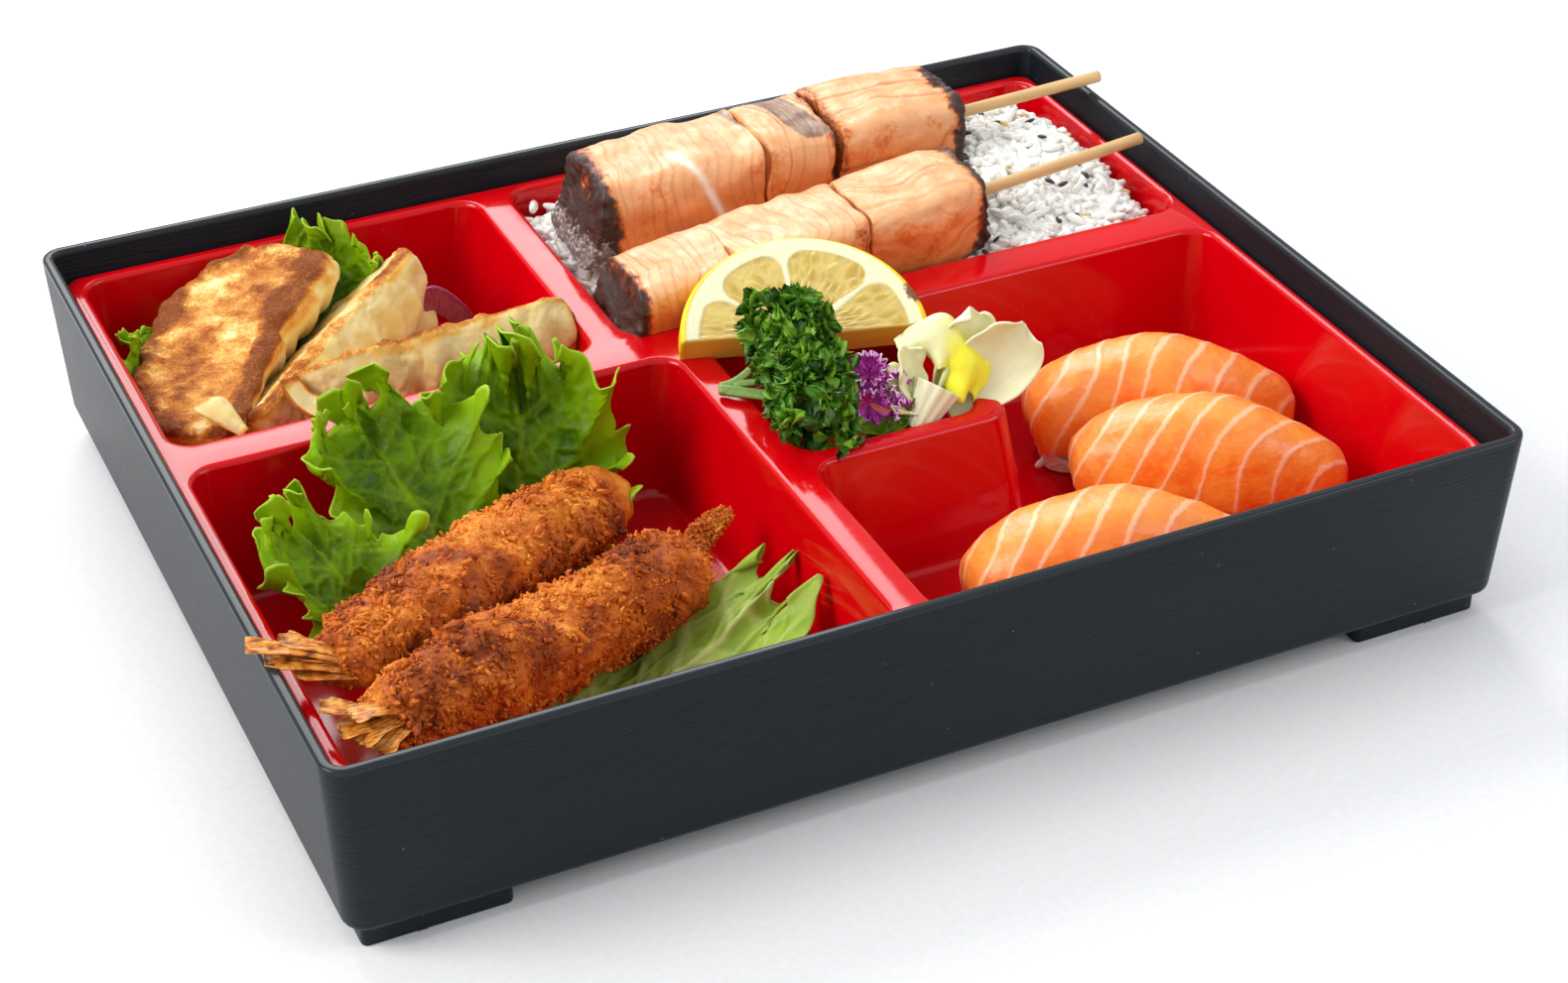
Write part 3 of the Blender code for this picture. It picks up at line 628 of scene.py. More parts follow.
def skin(piece):
    """The piece's points, and the way that each faces."""
    facing = np.empty(len(piece.data.vertices) * 3, np.float32)
    piece.data.vertex_normals.foreach_get("vector", facing)
    return points_of(piece), facing.reshape(-1, 3).astype(float)


def swell(piece, amounts):
    """Pushes each point outwards by its own amount."""
    points, facing = skin(piece)
    put_points(piece, points + facing * amounts[:, None])


def paint(piece, name, values):
    """Keeps a value on each point, or one for them all, for the piece's finish to read."""
    mark = piece.data.attributes.new(name, "FLOAT", "POINT")
    blank = np.zeros(len(piece.data.vertices), np.float32)
    mark.data.foreach_set("value", blank + np.asarray(values, np.float32))


def shade_smooth(piece):
    take(piece)
    bpy.ops.object.shade_smooth()


def turn_out(piece):
    """Turns the faces outwards and shades them smooth."""
    face_out(piece)
    shade_smooth(piece)


def thicken(piece, thickness):
    """Gives a sheet its thickness, half of it on each side."""
    use(piece, "SOLIDIFY", thickness=thickness * MM, offset=0.0, use_even_offset=False)


def shaped_ball(name, around, along, rule):
    """A ball drawn out into a closed body. rule(turn, share) gives its points: turn runs once
    round the body, and share from one end to the other. Hands back the share as well."""
    deselect()
    bpy.ops.mesh.primitive_uv_sphere_add(segments=around, ring_count=along, radius=1.0)
    piece = added(name)
    ball = points_of(piece) * MM
    turn = np.arctan2(ball[:, 1], ball[:, 0]) % math.tau
    share = np.arccos(np.clip(ball[:, 2], -1.0, 1.0)) / math.pi
    put_points(piece, rule(turn, share))
    turn_out(piece)
    return piece, share


def shaped_sheet(name, across, along, rule, thickness=0.0):
    """A flat grid bent into a sheet. rule(u, v) gives its points: u runs across it from -1 to 1,
    and v along it from 0 to 1."""
    deselect()
    bpy.ops.mesh.primitive_grid_add(x_subdivisions=across, y_subdivisions=along, size=1.0)
    piece = added(name)
    flat = points_of(piece) * MM
    u, v = flat[:, 0] * 2.0, flat[:, 1] + 0.5
    put_points(piece, rule(u, v))
    paint(piece, "across", u)
    paint(piece, "along", v)
    if thickness:
        thicken(piece, thickness)
    shade_smooth(piece)
    return piece


def at_place(origin, along, up, points):
    """Turns points so that X runs along `along` and Z near `up`, and moves them to origin."""
    ahead = unit(np.array(along, float))
    side = unit(np.cross(up, ahead))
    return np.array(origin, float) + points @ np.array([ahead, side, np.cross(ahead, side)])


def curve_at(path, share):
    """Points on the smooth curve whose control points are `path`."""
    share = np.asarray(share, float)[..., None]
    points = [np.array(point, float) for point in path]
    while len(points) > 1:
        points = [a + (b - a) * share for a, b in zip(points, points[1:])]
    return points[0]


def beside_curve(path, share, side, up, lean=(0.0, 0.0, 1.0)):
    """Points at these distances beside and above the curve."""
    ahead = unit(curve_at(path, share + 0.01) - curve_at(path, share - 0.01))
    across = unit(np.cross(np.broadcast_to(lean, ahead.shape), ahead))
    above = np.cross(ahead, across)
    return curve_at(path, share) + across * side[..., None] + above * up[..., None]


def round_curve(path, share, turn, radius):
    """Points round the curve at this radius."""
    return beside_curve(path, share, radius * np.cos(turn), radius * np.sin(turn))


def round_section(controls, turn):
    """A point on the smooth closed curve through the control points, one row of them each."""
    rows, count = np.arange(len(turn)), controls.shape[1]
    spot = turn / math.tau * count
    first = np.floor(spot).astype(int)
    part = (spot - first)[:, None]
    a, b, c, d = (controls[rows, (first + step) % count] for step in (-1, 0, 1, 2))
    bend = 2 * a - 5 * b + 4 * c - d + part * (3 * (b - c) + d - a)
    return b + 0.5 * part * (c - a + part * bend)


def closing(share, sharp):
    """1 along a body and 0 at its two ends, falling only in the last 1 / sharp of it."""
    return np.sqrt(held(np.minimum(share, 1.0 - share) * sharp))


def pattern(piece):
    """The piece's points and triangles, for copying. The piece itself is removed."""
    mesh = piece.data
    mesh.calc_loop_triangles()
    triangles = np.empty(len(mesh.loop_triangles) * 3, np.int32)
    mesh.loop_triangles.foreach_get("vertices", triangles)
    points = points_of(piece)
    bpy.data.objects.remove(piece, do_unlink=True)
    return points, triangles.reshape(-1, 3)


def strewn(name, lots, smooth_faces=True):
    """One mesh of many small copies. Each lot is a pattern, the places of its copies, and the
    three axes of each, whose lengths are its sizes. A shade of its own is kept on each copy."""
    points, faces, shades, count = [], [], [], 0
    for lot, ((shape, triangles), places, axes) in enumerate(lots):
        copies = places[:, None, :] + np.einsum("pi,kij->kpj", shape, axes)
        starts = count + len(shape) * np.arange(len(places))
        faces.append((triangles[None] + starts[:, None, None]).reshape(-1, 3))
        points.append(copies.reshape(-1, 3))
        shade = np.random.default_rng(lot + 5).random(len(places))
        shades.append(np.repeat(shade, len(shape)))
        count += len(shape) * len(places)
    mesh = bpy.data.meshes.new(name)
    mesh.from_pydata((np.concatenate(points) * MM).tolist(), [], np.concatenate(faces).tolist())
    piece = bpy.data.objects.new(name, mesh)
    bpy.context.scene.collection.objects.link(piece)
    paint(piece, "shade", np.concatenate(shades))
    if smooth_faces:
        shade_smooth(piece)
    return piece


def by_kind(patterns, kind, places, axes):
    """Lots for strewn: each pattern with the places and axes of its own copies."""
    return [(shape, places[kind == k], axes[kind == k]) for k, shape in enumerate(patterns)]


def axes_for(ahead, up, sizes):
    """Three axes for each copy: its X along `ahead`, its Z near `up`, stretched by sizes."""
    ahead = unit(ahead)
    side = unit(np.cross(up, ahead))
    axes = np.stack([ahead, side, np.cross(ahead, side)], axis=1)
    return axes * np.asarray(sizes)[..., None]


# ---- rice ----

RICE_POCKET = POCKETS["rice"][0]
CORE_FOOT = 8.6
CORE_TOP = 30.0
OPEN_FROM = 84.0
GRAIN_REACH = 3.1
GRAIN_RADIUS = 1.22
SEED_REACH = 1.6


def rice_surface():
    """Cooked white rice: moist, slightly see-through grains with paler cores."""
    finish = Finish("cooked_white_rice")
    soft = finish.cloud(2.2, detail=2.0)
    shade = finish.mark("shade")
    pale = finish.mix(shade * 0.7 + soft * 0.3, (0.85, 0.83, 0.765), (0.95, 0.94, 0.89))
    finish.set(
        Base_Color=pale,
        Roughness=finish.spread(soft, 0.3, 0.7, 0.22, 0.42),
        Specular_IOR_Level=0.4,
    )
    finish.soak(0.12, (1.0, 0.9, 0.75), 1.5)
    finish.relief(finish.cloud(0.9, detail=2.0), 0.12, 0.5)
    return finish


def grain_patterns():
    """Three rice grains: slightly bent, with one blunter end."""
    made = []
    for bend, fat in ((0.45, 1.0), (-0.3, 0.92), (0.15, 1.1)):

        def grain(turn, share):
            x = -GRAIN_REACH * np.cos(share * math.pi)
            radius = GRAIN_RADIUS * fat * np.sin(share * math.pi) ** 0.75 * (1.0 + 0.05 * x)
            y = radius * np.cos(turn) * 1.08
            return spots(x, y, radius * np.sin(turn) * 0.92 - bend * (x / GRAIN_REACH) ** 2)

        made.append(pattern(shaped_ball("grain", 7, 6, grain)[0]))
    return made


def rice_height(x, y):
    """The heap is highest in the middle of its right end, and lower under the salmon."""
    _, right, front, back = RICE_POCKET
    depth = held((y - front) / (back - front))
    under_fish = 35.5 + 6.0 * depth + 3.0 * held(x / 90.0)
    heap = 44.0 + 6.0 * np.sin(math.pi * depth)
    heap = heap - 13.0 * held((x - right + 13.0) / 13.0)
    heap = heap - 16.0 * held((y - back + 24.0 - (x - 100.0) * 0.3) / 24.0)
    opened = held((x - OPEN_FROM) / 24.0)
    spot = spots(x, y, 0.0)
    return under_fish + (heap - under_fish) * opened + 1.8 * lump(spot, 9.0, 4)


def loose_grains(rng, places, sizes, tilt):
    """Lots of grains lying every way at these places."""
    kinds = grain_patterns()
    turn = rng.uniform(0, math.tau, len(places))
    rise = rng.normal(0.0, tilt, len(places))
    ahead = spots(np.cos(turn), np.sin(turn), rise)
    up = unit(rng.normal(0.0, 0.6, (len(places), 3)) + (0.0, 0.0, 1.0))
    axes = axes_for(ahead, up, np.repeat(sizes[:, None], 3, 1))
    kind = rng.integers(0, 3, len(places))
    return by_kind(kinds, kind, places, axes)


def rice():
    rng = np.random.default_rng(11)
    left, right, front, back = RICE_POCKET
    heaps = []
    for x_low, x_high, count, depth in (
        (left + 3.5, OPEN_FROM, 1010, 0.6),
        (OPEN_FROM, right - 2.6, 860, 2.2),
        (OPEN_FROM, right - 2.2, 940, 0.4),
    ):
        x = rng.uniform(x_low, x_high, count)
        y = rng.uniform(front + 3.0, back - 2.6, count)
        z = rice_height(x, y) - depth + rng.normal(0.0, 0.7, count)
        heaps.append(spots(x, y, z))
    places = np.concatenate(heaps)
    sizes = rng.uniform(0.82, 1.12, len(places))
    grains = strewn("rice_grains", loose_grains(rng, places, sizes, 0.26))
    core = shaped_core()
    cooked = rice_surface()
    finished(core, cooked, "cooked_rice", "rice_bed")
    finished(grains, cooked, "cooked_rice", "rice_bed")
    sesame(rng)


def shaped_core():
    """The rice under the top grains, pressed against the pocket's walls."""
    left, right, front, back = RICE_POCKET
    low, high = (left + 4.4, front + 4.2, CORE_FOOT), (right - 1.8, back - 2.0, CORE_TOP)
    core = block("rice_core", low, high)
    pick(core, "FACE", lambda face: True)
    bpy.ops.mesh.subdivide(number_cuts=60)
    done()
    points = points_of(core)
    share = (points[:, 2] - CORE_FOOT) / (CORE_TOP - CORE_FOOT)
    top = rice_height(points[:, 0], points[:, 1]) - 0.5
    edge = np.minimum.reduce([
        points[:, 0] - left, right - points[:, 0], points[:, 1] - front, back - points[:, 1]])
    top = top - 6.0 * (1.0 - step_up(edge, 1.5, 7.0))
    points[:, 2] = CORE_FOOT + share * (top - CORE_FOOT)
    put_points(core, shaken(points, 0.5, 2.6))
    paint(core, "shade", 0.8)
    shade_smooth(core)
    return core


def sesame(rng):
    """Black and pale sesame seeds on the open rice."""

    def seed(turn, share):
        x = -SEED_REACH * np.cos(share * math.pi)
        radius = np.sin(share * math.pi) ** 0.8 * (1.0 - 0.22 * x)
        return spots(x, 0.85 * radius * np.cos(turn), 0.5 * radius * np.sin(turn))

    shape = pattern(shaped_ball("seed", 8, 7, seed)[0])
    for name, count, colour in (
        ("black_sesame", 34, (0.012, 0.011, 0.012)), ("pale_sesame", 18, (0.66, 0.42, 0.16)),
    ):
        x, y = rng.uniform(88.0, 143.0, count), rng.uniform(32.0, 108.0, count)
        places = spots(x, y, rice_height(x, y) + 1.5)
        ahead = rng.normal(0.0, 1.0, (count, 3)) * (1.0, 1.0, 0.3)
        sizes = np.repeat(rng.uniform(0.95, 1.25, (count, 1)), 3, 1)
        axes = axes_for(ahead, np.array([0.1, 0.1, 1.0]), sizes)
        seeds = strewn(name, [(shape, places, axes)])
        finish = Finish(name)
        tone = finish.mix(finish.mark("shade"), colour, tuple(min(1.0, c * 1.6) for c in colour))
        streaks = finish.cloud(0.35)
        finish.set(Base_Color=finish.mix(streaks * 0.4, tone, (0.08, 0.06, 0.04)), Roughness=0.38)
        finish.relief(streaks, 0.05, 0.6)
        finished(seeds, finish, "cooked_rice")


# ---- salmon skewers ----

SKEWERS = {
    "front": ((-14.0, 39.3, 47.5), (147.5, 48.6, 58.0)),
    "back": ((-6.0, 83.0, 54.9), (157.0, 88.6, 58.2)),
}

# Each chunk's skewer, its span of X, the spacing of its flakes and their slant: 0 runs across
# the skewer, 1 along it. The last two say how dark its left and right ends are.
CHUNKS = {
    "salmon_front_left": ("front", -20.5, 10.0, 2.7, 0.05, 1.0, 0.0),
    "salmon_front_middle": ("front", 10.8, 50.0, 3.4, 0.12, 0.0, 0.15),
    "salmon_front_right": ("front", 50.8, 88.0, 6.0, 0.82, 0.1, 0.9),
    "salmon_back_left": ("back", -13.5, 38.0, 2.9, 0.10, 1.0, 0.0),
    "salmon_back_middle": ("back", 38.8, 60.0, 4.0, 0.10, 0.1, 0.55),
    "salmon_back_right": ("back", 60.8, 101.0, 7.2, 0.92, 0.4, 1.0),
}


SKEWER_RADIUS = 1.75
SKEWER_POINT = 9.0
# How deep and how thick each row's chunks are, and how square in section.
CHUNK_SIZE = {"front": (28.0, 23.0), "back": (31.0, 27.0)}
SQUARENESS = 5.6


def skewer_line(row, x):
    start, end = (np.array(point) for point in SKEWERS[row])
    return start + (end - start) * ((x - start[0]) / (end[0] - start[0]))[..., None]


def skewer(row, wood):
    """A round bamboo stick, pointed at its left end and cut off at its right end."""
    start, end = (np.array(point) for point in SKEWERS[row])
    reach = np.linalg.norm(end - start)

    def stick(turn, share):
        x = reach * held((share - 0.004) / 0.992)
        radius = SKEWER_RADIUS * held(0.2 + x / SKEWER_POINT) * closing(share, 220.0)
        spot = spots(x * 0.05, np.cos(turn), np.sin(turn))
        radius = radius * (1.0 + 0.05 * lump(spot, 0.7, 3))
        round_stick = spots(x, radius * np.cos(turn), radius * np.sin(turn))
        return at_place(start, end - start, (0, 0, 1), round_stick)

    piece, _ = shaped_ball("bamboo_skewer_" + row, 20, 150, stick)
    finished(piece, wood, "bamboo", "skewer_" + row)


def bamboo():
    finish = Finish("bamboo_stick")
    fibres = finish.cloud(0.5, finish.place((0.03, 1.0, 1.0)), 3.0)
    patches = finish.cloud(11.0, finish.place((0.4, 1.0, 1.0)), 3.0)
    pale = finish.mix(fibres, (0.54, 0.30, 0.095), (0.84, 0.58, 0.27))
    toasted = finish.mix(finish.spread(patches, 0.56, 0.75) * 0.6, pale, (0.34, 0.17, 0.055))
    finish.set(Base_Color=toasted, Roughness=finish.spread(fibres, 0.3, 0.7, 0.42, 0.62))
    finish.relief(fibres, 0.16, 0.8)
    return finish


def salmon_chunk(name, cooked):
    """A block of grilled fish, parted into flakes, with browned and charred edges."""
    row, left, right, spacing, slant, dark_left, dark_right = CHUNKS[name]
    depth, thickness = CHUNK_SIZE[row]
    seed = 7 * list(CHUNKS).index(name) + 3

    def shape(turn, share):
        reach = held((1.0 - np.cos(share * math.pi)) / 2.0 * 1.04 - 0.02)
        flat = np.minimum(share, 1.0 - share)
        size = (0.90 + 0.10 * step_up(flat, 0.01, 0.13)) * closing(share, 14.0) ** 0.8
        y, z = np.cos(turn), np.sin(turn)
        bulk = (np.abs(y) ** SQUARENESS + np.abs(z) ** SQUARENESS) ** (-1.0 / SQUARENESS)
        middle = skewer_line(row, left + (right - left) * reach)
        body = spots(0.0, y * bulk * depth / 2 * size, z * bulk * thickness / 2 * size)
        around = middle + body
        uneven = 2.6 * lump(around, 15.0, seed) + 1.2 * lump(around, 6.0, seed)
        lumps = 1.0 + uneven / depth
        moved = middle + body * lumps[:, None]
        slope = 3.0 * dark_left * z * (1.0 - step_up(reach, 0.0, 0.25))
        moved[:, 0] += slope + 1.2 * lump(around * (0.0, 1.0, 1.0), 8.0, seed)
        return moved

    piece, _ = shaped_ball(name + "_flesh", 158, 126, shape)
    points, facing = skin(piece)
    spot = points - skewer_line(row, points[:, 0]) * (0.0, 1.0, 1.0)
    cross, run = spot[:, 1] / depth * 2.0, (points[:, 0] - left) / (right - left)
    warp = 3.4 * lump(points, 16.0, seed + 1) + 1.3 * lump(points, 6.0, seed + 2)
    arc = 3.0 * cross**2 * (1.0 - slant) + 5.0 * (run - 0.4) ** 2 * slant
    over_flakes = spot[:, 0] * (1.0 - slant) + (spot[:, 1] - 0.6 * spot[:, 2]) * slant
    phase = (over_flakes + arc + warp) / spacing
    gap = np.abs(phase - np.round(phase)) * spacing
    strength = step_up(lump(np.round(phase)[:, None] * (7.3, 3.1, 1.7), 1.0, seed), -0.6, 0.7)
    strength = (0.35 + 0.65 * strength) * step_up(lump(points, 14.0, seed + 12), -0.95, -0.1)
    groove = crest(gap, 0.36 + 0.10 * slant) * strength
    crown = (0.04 + 0.34 * slant) * np.cos(math.tau * phase) * strength
    grain = rough(points, 3.2, seed + 5)
    broad = 0.9 * lump(points, 11.0, seed + 13)
    swell(piece, broad + crown - (0.14 + 0.6 * slant) * groove + 0.20 * grain)

    top = step_up(facing[:, 2], -0.2, 0.5)
    rim = step_up(np.abs(cross), 0.80, 1.02) * 0.25 + 0.08 * (1.0 - top)
    blotch = rough(points, 7.0, seed + 8)
    fray = run + 0.075 * blotch + 0.03 * rough(points, 2.2, seed + 10)
    ends = dark_left * (1.0 - step_up(fray, 0.03, 0.15 + 0.06 * (row == "front")))
    ends = np.maximum(ends, dark_right * step_up(fray, 0.86, 1.02) * 0.95)
    char = 1.32 * ends + rim * step_up(blotch, -0.1, 0.6) + 0.07 * np.maximum(blotch, 0.0)
    char = np.clip(char + 0.10 * rough(points, 3.0, seed + 11) * ends, 0.0, 1.15)
    swell(piece, 0.9 * char * rough(points, 2.4, seed + 9))
    paint(piece, "char", char)
    # painted shade: the groove mark also paints the grooves between flakes darker
    paint(piece, "groove", groove)
    low = step_up(-spot[:, 2] / thickness, -0.15, 0.30)
    paint(piece, "skin", dark_left * (1.0 - step_up(run, 0.04, 0.15)) * (0.15 + 0.85 * low))
    # painted shade: marks the lower, front side of each chunk to be painted a darker, deeper orange
    low = -spot[:, 2] / thickness - 0.175 * np.minimum(cross, 0.0) + 0.08 * blotch
    paint(piece, "low", step_up(low, -0.18, 0.18))
    streak = crest(points[:, 0] - 14.0 + 0.30 * spot[:, 1] + 0.45 * (spot[:, 2] - 8.0), 1.3)
    streak = streak * (name == "salmon_back_left") * step_up(-0.1 - cross, -0.1, 0.4)
    streak = streak * step_up(spot[:, 2], -9.0, -3.0)
    paint(piece, "streak", streak)
    band = np.exp(-(((points[:, 0] - 52.5 + 3.5 * cross) / 5.6) ** 4))
    band = band * step_up(cross, -1.0, -0.7) * step_up(blotch, -1.2, -0.5)
    crease = 0.8 * crest(points[:, 0] - 37.5 + 3.0 * cross, 1.5) * step_up(cross, -0.3, 0.1)
    paint(piece, "grey", np.maximum(band, crease) * (row == "back"))
    finished(piece, cooked, "grilled_salmon", name)


def grilled_salmon():
    """Pale orange flesh with painted shade in the grooves between flakes, browned edges and
    charred, silvery skin.
    """
    finish = Finish("grilled_salmon_flesh")
    char, groove = finish.mark("char"), finish.mark("groove")
    fibre = finish.cloud(0.8, finish.place((1.0, 0.25, 1.0)), 3.0)
    blotch = finish.cloud(7.0, detail=3.0)
    speck = finish.cloud(1.3, detail=4.0, rough=0.65)
    flesh = finish.mix(finish.spread(blotch, 0.35, 0.65), (0.80, 0.345, 0.130), (0.87, 0.47, 0.225))
    flesh = finish.mix(fibre * 0.25, flesh, (0.91, 0.58, 0.34))
    # painted shade: the lower, front side is painted a darker, deeper orange
    flesh = finish.mix(finish.mark("low") * 0.85, flesh, (0.78, 0.210, 0.034))
    # painted shade: the grooves between flakes are painted a darker orange
    flesh = finish.mix(groove * 0.78, flesh, (0.58, 0.175, 0.040))
    flesh = finish.mix(finish.mark("streak") * 0.85, flesh, (0.92, 0.84, 0.72))
    toast = finish.ramp(
        char + (speck - 0.5) * 0.9,
        (0.16, (1.0, 1.0, 1.0)), (0.38, (0.93, 0.64, 0.36)), (0.58, (0.46, 0.25, 0.14)),
        (0.76, (0.17, 0.085, 0.065)), (1.0, (0.05, 0.035, 0.040)),
    )
    flesh = finish.mix(1.0, flesh, toast, "MULTIPLY")
    silver = finish.spread(finish.mark("skin") + (speck - 0.5) * 1.6, 0.62, 0.95)
    scales = finish.spread(finish.cells(1.5), 0.15, 0.6)
    silvery = finish.mix(scales, (0.62, 0.60, 0.55), (0.22, 0.17, 0.16))
    flesh = finish.mix(silver * 0.85, flesh, silvery)
    grey = finish.spread(finish.mark("grey") + (speck - 0.5) * 1.1, 0.35, 0.65)
    greys = finish.mix(finish.spread(blotch, 0.4, 0.6), (0.17, 0.090, 0.075), (0.34, 0.225, 0.155))
    flesh = finish.mix(grey * 0.9, flesh, greys)
    wet = finish.spread(finish.cloud(5.0), 0.42, 0.62, 0.34, 0.55)
    finish.set(
        Base_Color=flesh,
        Roughness=wet + char * 0.15,
        Coat_Weight=0.12,
        Coat_Roughness=0.25,
    )
    finish.soak(0.22, (1.0, 0.45, 0.25), 2.5)
    finish.relief(fibre * 0.5 + speck * (0.30 + char), 0.34, 0.75)
    return finish


# ---- dumplings ----

GYOZA_SIZE = (84.0, 31.0, 27.0)

PLEATS = 8.5

# Each dumpling's middle of the seared base, its long axis, the way the base faces, its bend
# sideways, its share of the full size, how golden its base is and how far its nearer side
# bulges beyond the base.
GYOZA = {
    "gyoza_left": (
        (-114.0, 74.0, 45.0), (45.0, 67.0, 13.0), (-0.22, -0.12, 1.0), -9.0, 1.0, 0.46, 5.0),
    "gyoza_middle": (
        (-95.0, 70.0, 41.0), (60.0, 50.0, 11.0), (-0.72, 0.25, 0.62), -6.0, 0.97, 0.10, 2.0),
    "gyoza_front": (
        (-70.0, 51.0, 43.0), (84.0, -4.0, 7.0), (0.10, 0.75, 0.65), -4.0, 0.97, 0.08, 1.0),
}


def gyoza(name, dough):
    """A crescent dumpling: flat seared base, bulging sides and a pleated seam."""
    middle, along, facing, bend, size, gold, flank_bulge = GYOZA[name]
    seed = 9 * list(GYOZA).index(name) + 2
    length, width, height = (size * full for full in GYOZA_SIZE)
    local = {}

    def shape(turn, share):
        t = -0.985 + 1.97 * share
        bulge = (1.0 - np.abs(t) ** np.where(t > 0.0, 4.4, 2.6)) ** 0.55
        outline = spots(share * length, 6.0 * np.cos(turn), 0.0)
        half = (width / 2 * bulge + 1.2) * (1.0 + 0.07 * lump(outline, 8.0, seed))
        half = half + 0.7 * lump(outline, 3.5, seed + 5)
        flank = flank_bulge * step_up(t, -0.4, 0.7)
        tall = height * (0.35 + 0.65 * bulge)
        pleat = 1.2 * np.cos(PLEATS * math.tau * share)
        fold = np.sin(PLEATS * math.tau * share + 0.6)
        shift = bend * (1.0 - t * t)
        section = (
            (-half, 0.3), (-half - 1.0, tall * 0.22), (-half * 0.80, tall * 0.52 + 0.3 * fold),
            (-1.8, tall * 0.80 + 0.6 * pleat), (-0.9 + 0.4 * fold, tall + pleat),
            (0.9 + 0.4 * fold, tall + pleat), (2.0, tall * 0.80 - 0.6 * pleat),
            (half * 0.72 + pleat + flank, tall * 0.55 + 0.4 * fold),
            (half + 1.0 + flank, tall * 0.22), (half, 0.3), (0.0, -0.4),
        )
        corners = np.stack([spots(a, b, half)[:, :2] for a, b in section], 1)
        ring = round_section(corners, turn)
        heart = corners.mean(axis=1)
        ring = heart + (ring - heart) * closing(share, 26.0)[:, None]
        local["points"] = spots(t * length / 2, ring[:, 0] + shift, ring[:, 1])
        local["rim"] = np.maximum(np.abs(ring[:, 0]) / half, np.abs(t) ** 3)
        return at_place(middle, along, [-part for part in facing], local["points"])

    piece, share = shaped_ball(name + "_dough", 134, 166, shape)
    spot, rim = local["points"], local["rim"]
    base = 1.0 - step_up(spot[:, 2], 0.9, 3.0)
    broad, fine = rough(spot, 12.0, seed), rough(spot, 2.4, seed + 1)
    edge = step_up(rim + 0.22 * broad + 0.10 * fine, 0.68, 0.92)
    patch = rough(spot, 4.5, seed + 9)
    sear = base * (gold + 0.44 * edge + 0.40 * broad + 0.34 * patch + 0.30 * fine)
    sear = np.maximum(sear, 0.17 * (1.0 - base) * (0.6 + 0.6 * broad))
    fold_line = crest(spot[:, 2] - 3.0, 2.2) * step_up(broad, -0.1, 0.5) * 0.42
    tips = step_up(np.abs(share - 0.5), 0.455, 0.5) * 0.6
    seam = 0.5 * step_up(spot[:, 2] / height, 0.93, 1.05)
    seam = seam * step_up(lump(spot, 9.0, seed + 4), 0.0, 0.6)
    sear = np.clip(np.maximum.reduce([sear, fold_line, tips, seam]), 0.0, 0.92)
    if name == "gyoza_front":
        sear = np.clip(sear + 0.50 * step_up(spot[:, 0], 33.0, 41.0), 0.0, 1.05)
    creases = crest(rough(spot, 14.0, seed + 6), 0.045) * (1.0 - base)
    heights = 0.75 * lump(spot, 9.0, seed + 2) + 0.28 * fine - 0.4 * creases
    heights += base * (1.8 * edge * (0.45 + 0.55 * lump(spot, 4.5, seed + 3)) - 0.4)
    heights += base * 0.30 * rough(spot, 1.5, seed + 7)
    swell(piece, heights)
    paint(piece, "sear", sear)
    paint(piece, "base", base)
    finished(piece, dough, "fried_dough", name)


def fried_dough():
    """Thin steamed dough with a hint of the filling, crisp and brown where it was seared."""
    finish = Finish("seared_dough")
    sear, base = finish.mark("sear"), finish.mark("base")
    speck = finish.cloud(0.9, detail=4.0, rough=0.7)
    blotch = finish.cloud(6.0, detail=3.0)
    filling = finish.spread(finish.cloud(4.0, detail=2.0), 0.55, 0.72)
    bubble = finish.spread(finish.cells(1.3), 0.10, 0.50)
    patches = finish.spread(blotch, 0.35, 0.65)
    dough = finish.mix(patches, (0.74, 0.545, 0.205), (0.82, 0.685, 0.345))
    dough = finish.mix(filling * 0.25, dough, (0.54, 0.49, 0.17))
    crust = finish.ramp(
        sear + (speck - 0.5) * (0.25 + base * 0.60) + (bubble - 0.5) * base * 0.16,
        (0.12, (1.0, 1.0, 1.0)), (0.30, (0.97, 0.72, 0.36)), (0.48, (0.80, 0.40, 0.12)),
        (0.72, (0.54, 0.195, 0.045)), (1.0, (0.27, 0.080, 0.020)),
    )
    finish.set(
        Base_Color=finish.mix(1.0, dough, crust, "MULTIPLY"),
        Roughness=finish.spread(sear + blotch * 0.3, 0.1, 0.9, 0.44, 0.66),
        Specular_IOR_Level=0.22,
    )
    finish.soak(0.25, (1.0, 0.7, 0.35), 2.0)
    finish.relief(speck * (0.2 + sear) + finish.cloud(2.5) * 0.3 + bubble * base * 0.5, 0.5, 0.8)
    return finish


FLAP_THICKNESS = 0.9

# Each loose flap's curve, width, twist, how browned it is and how it tapers.
FLAPS = {
    "gyoza_left_flap": (
        ((-131.0, 46.5, 45.0), (-129.5, 40.5, 44.6), (-125.0, 34.3, 40.4)), 10.5, -1.6, 0.45, 0.8),
    "gyoza_front_flap": (
        ((-110.5, 45.0, 46.4), (-109.7, 40.0, 41.0), (-105.0, 35.5, 37.5), (-98.0, 34.9, 40.5)),
        7.5, 1.6, 0.75, 0.0),
}


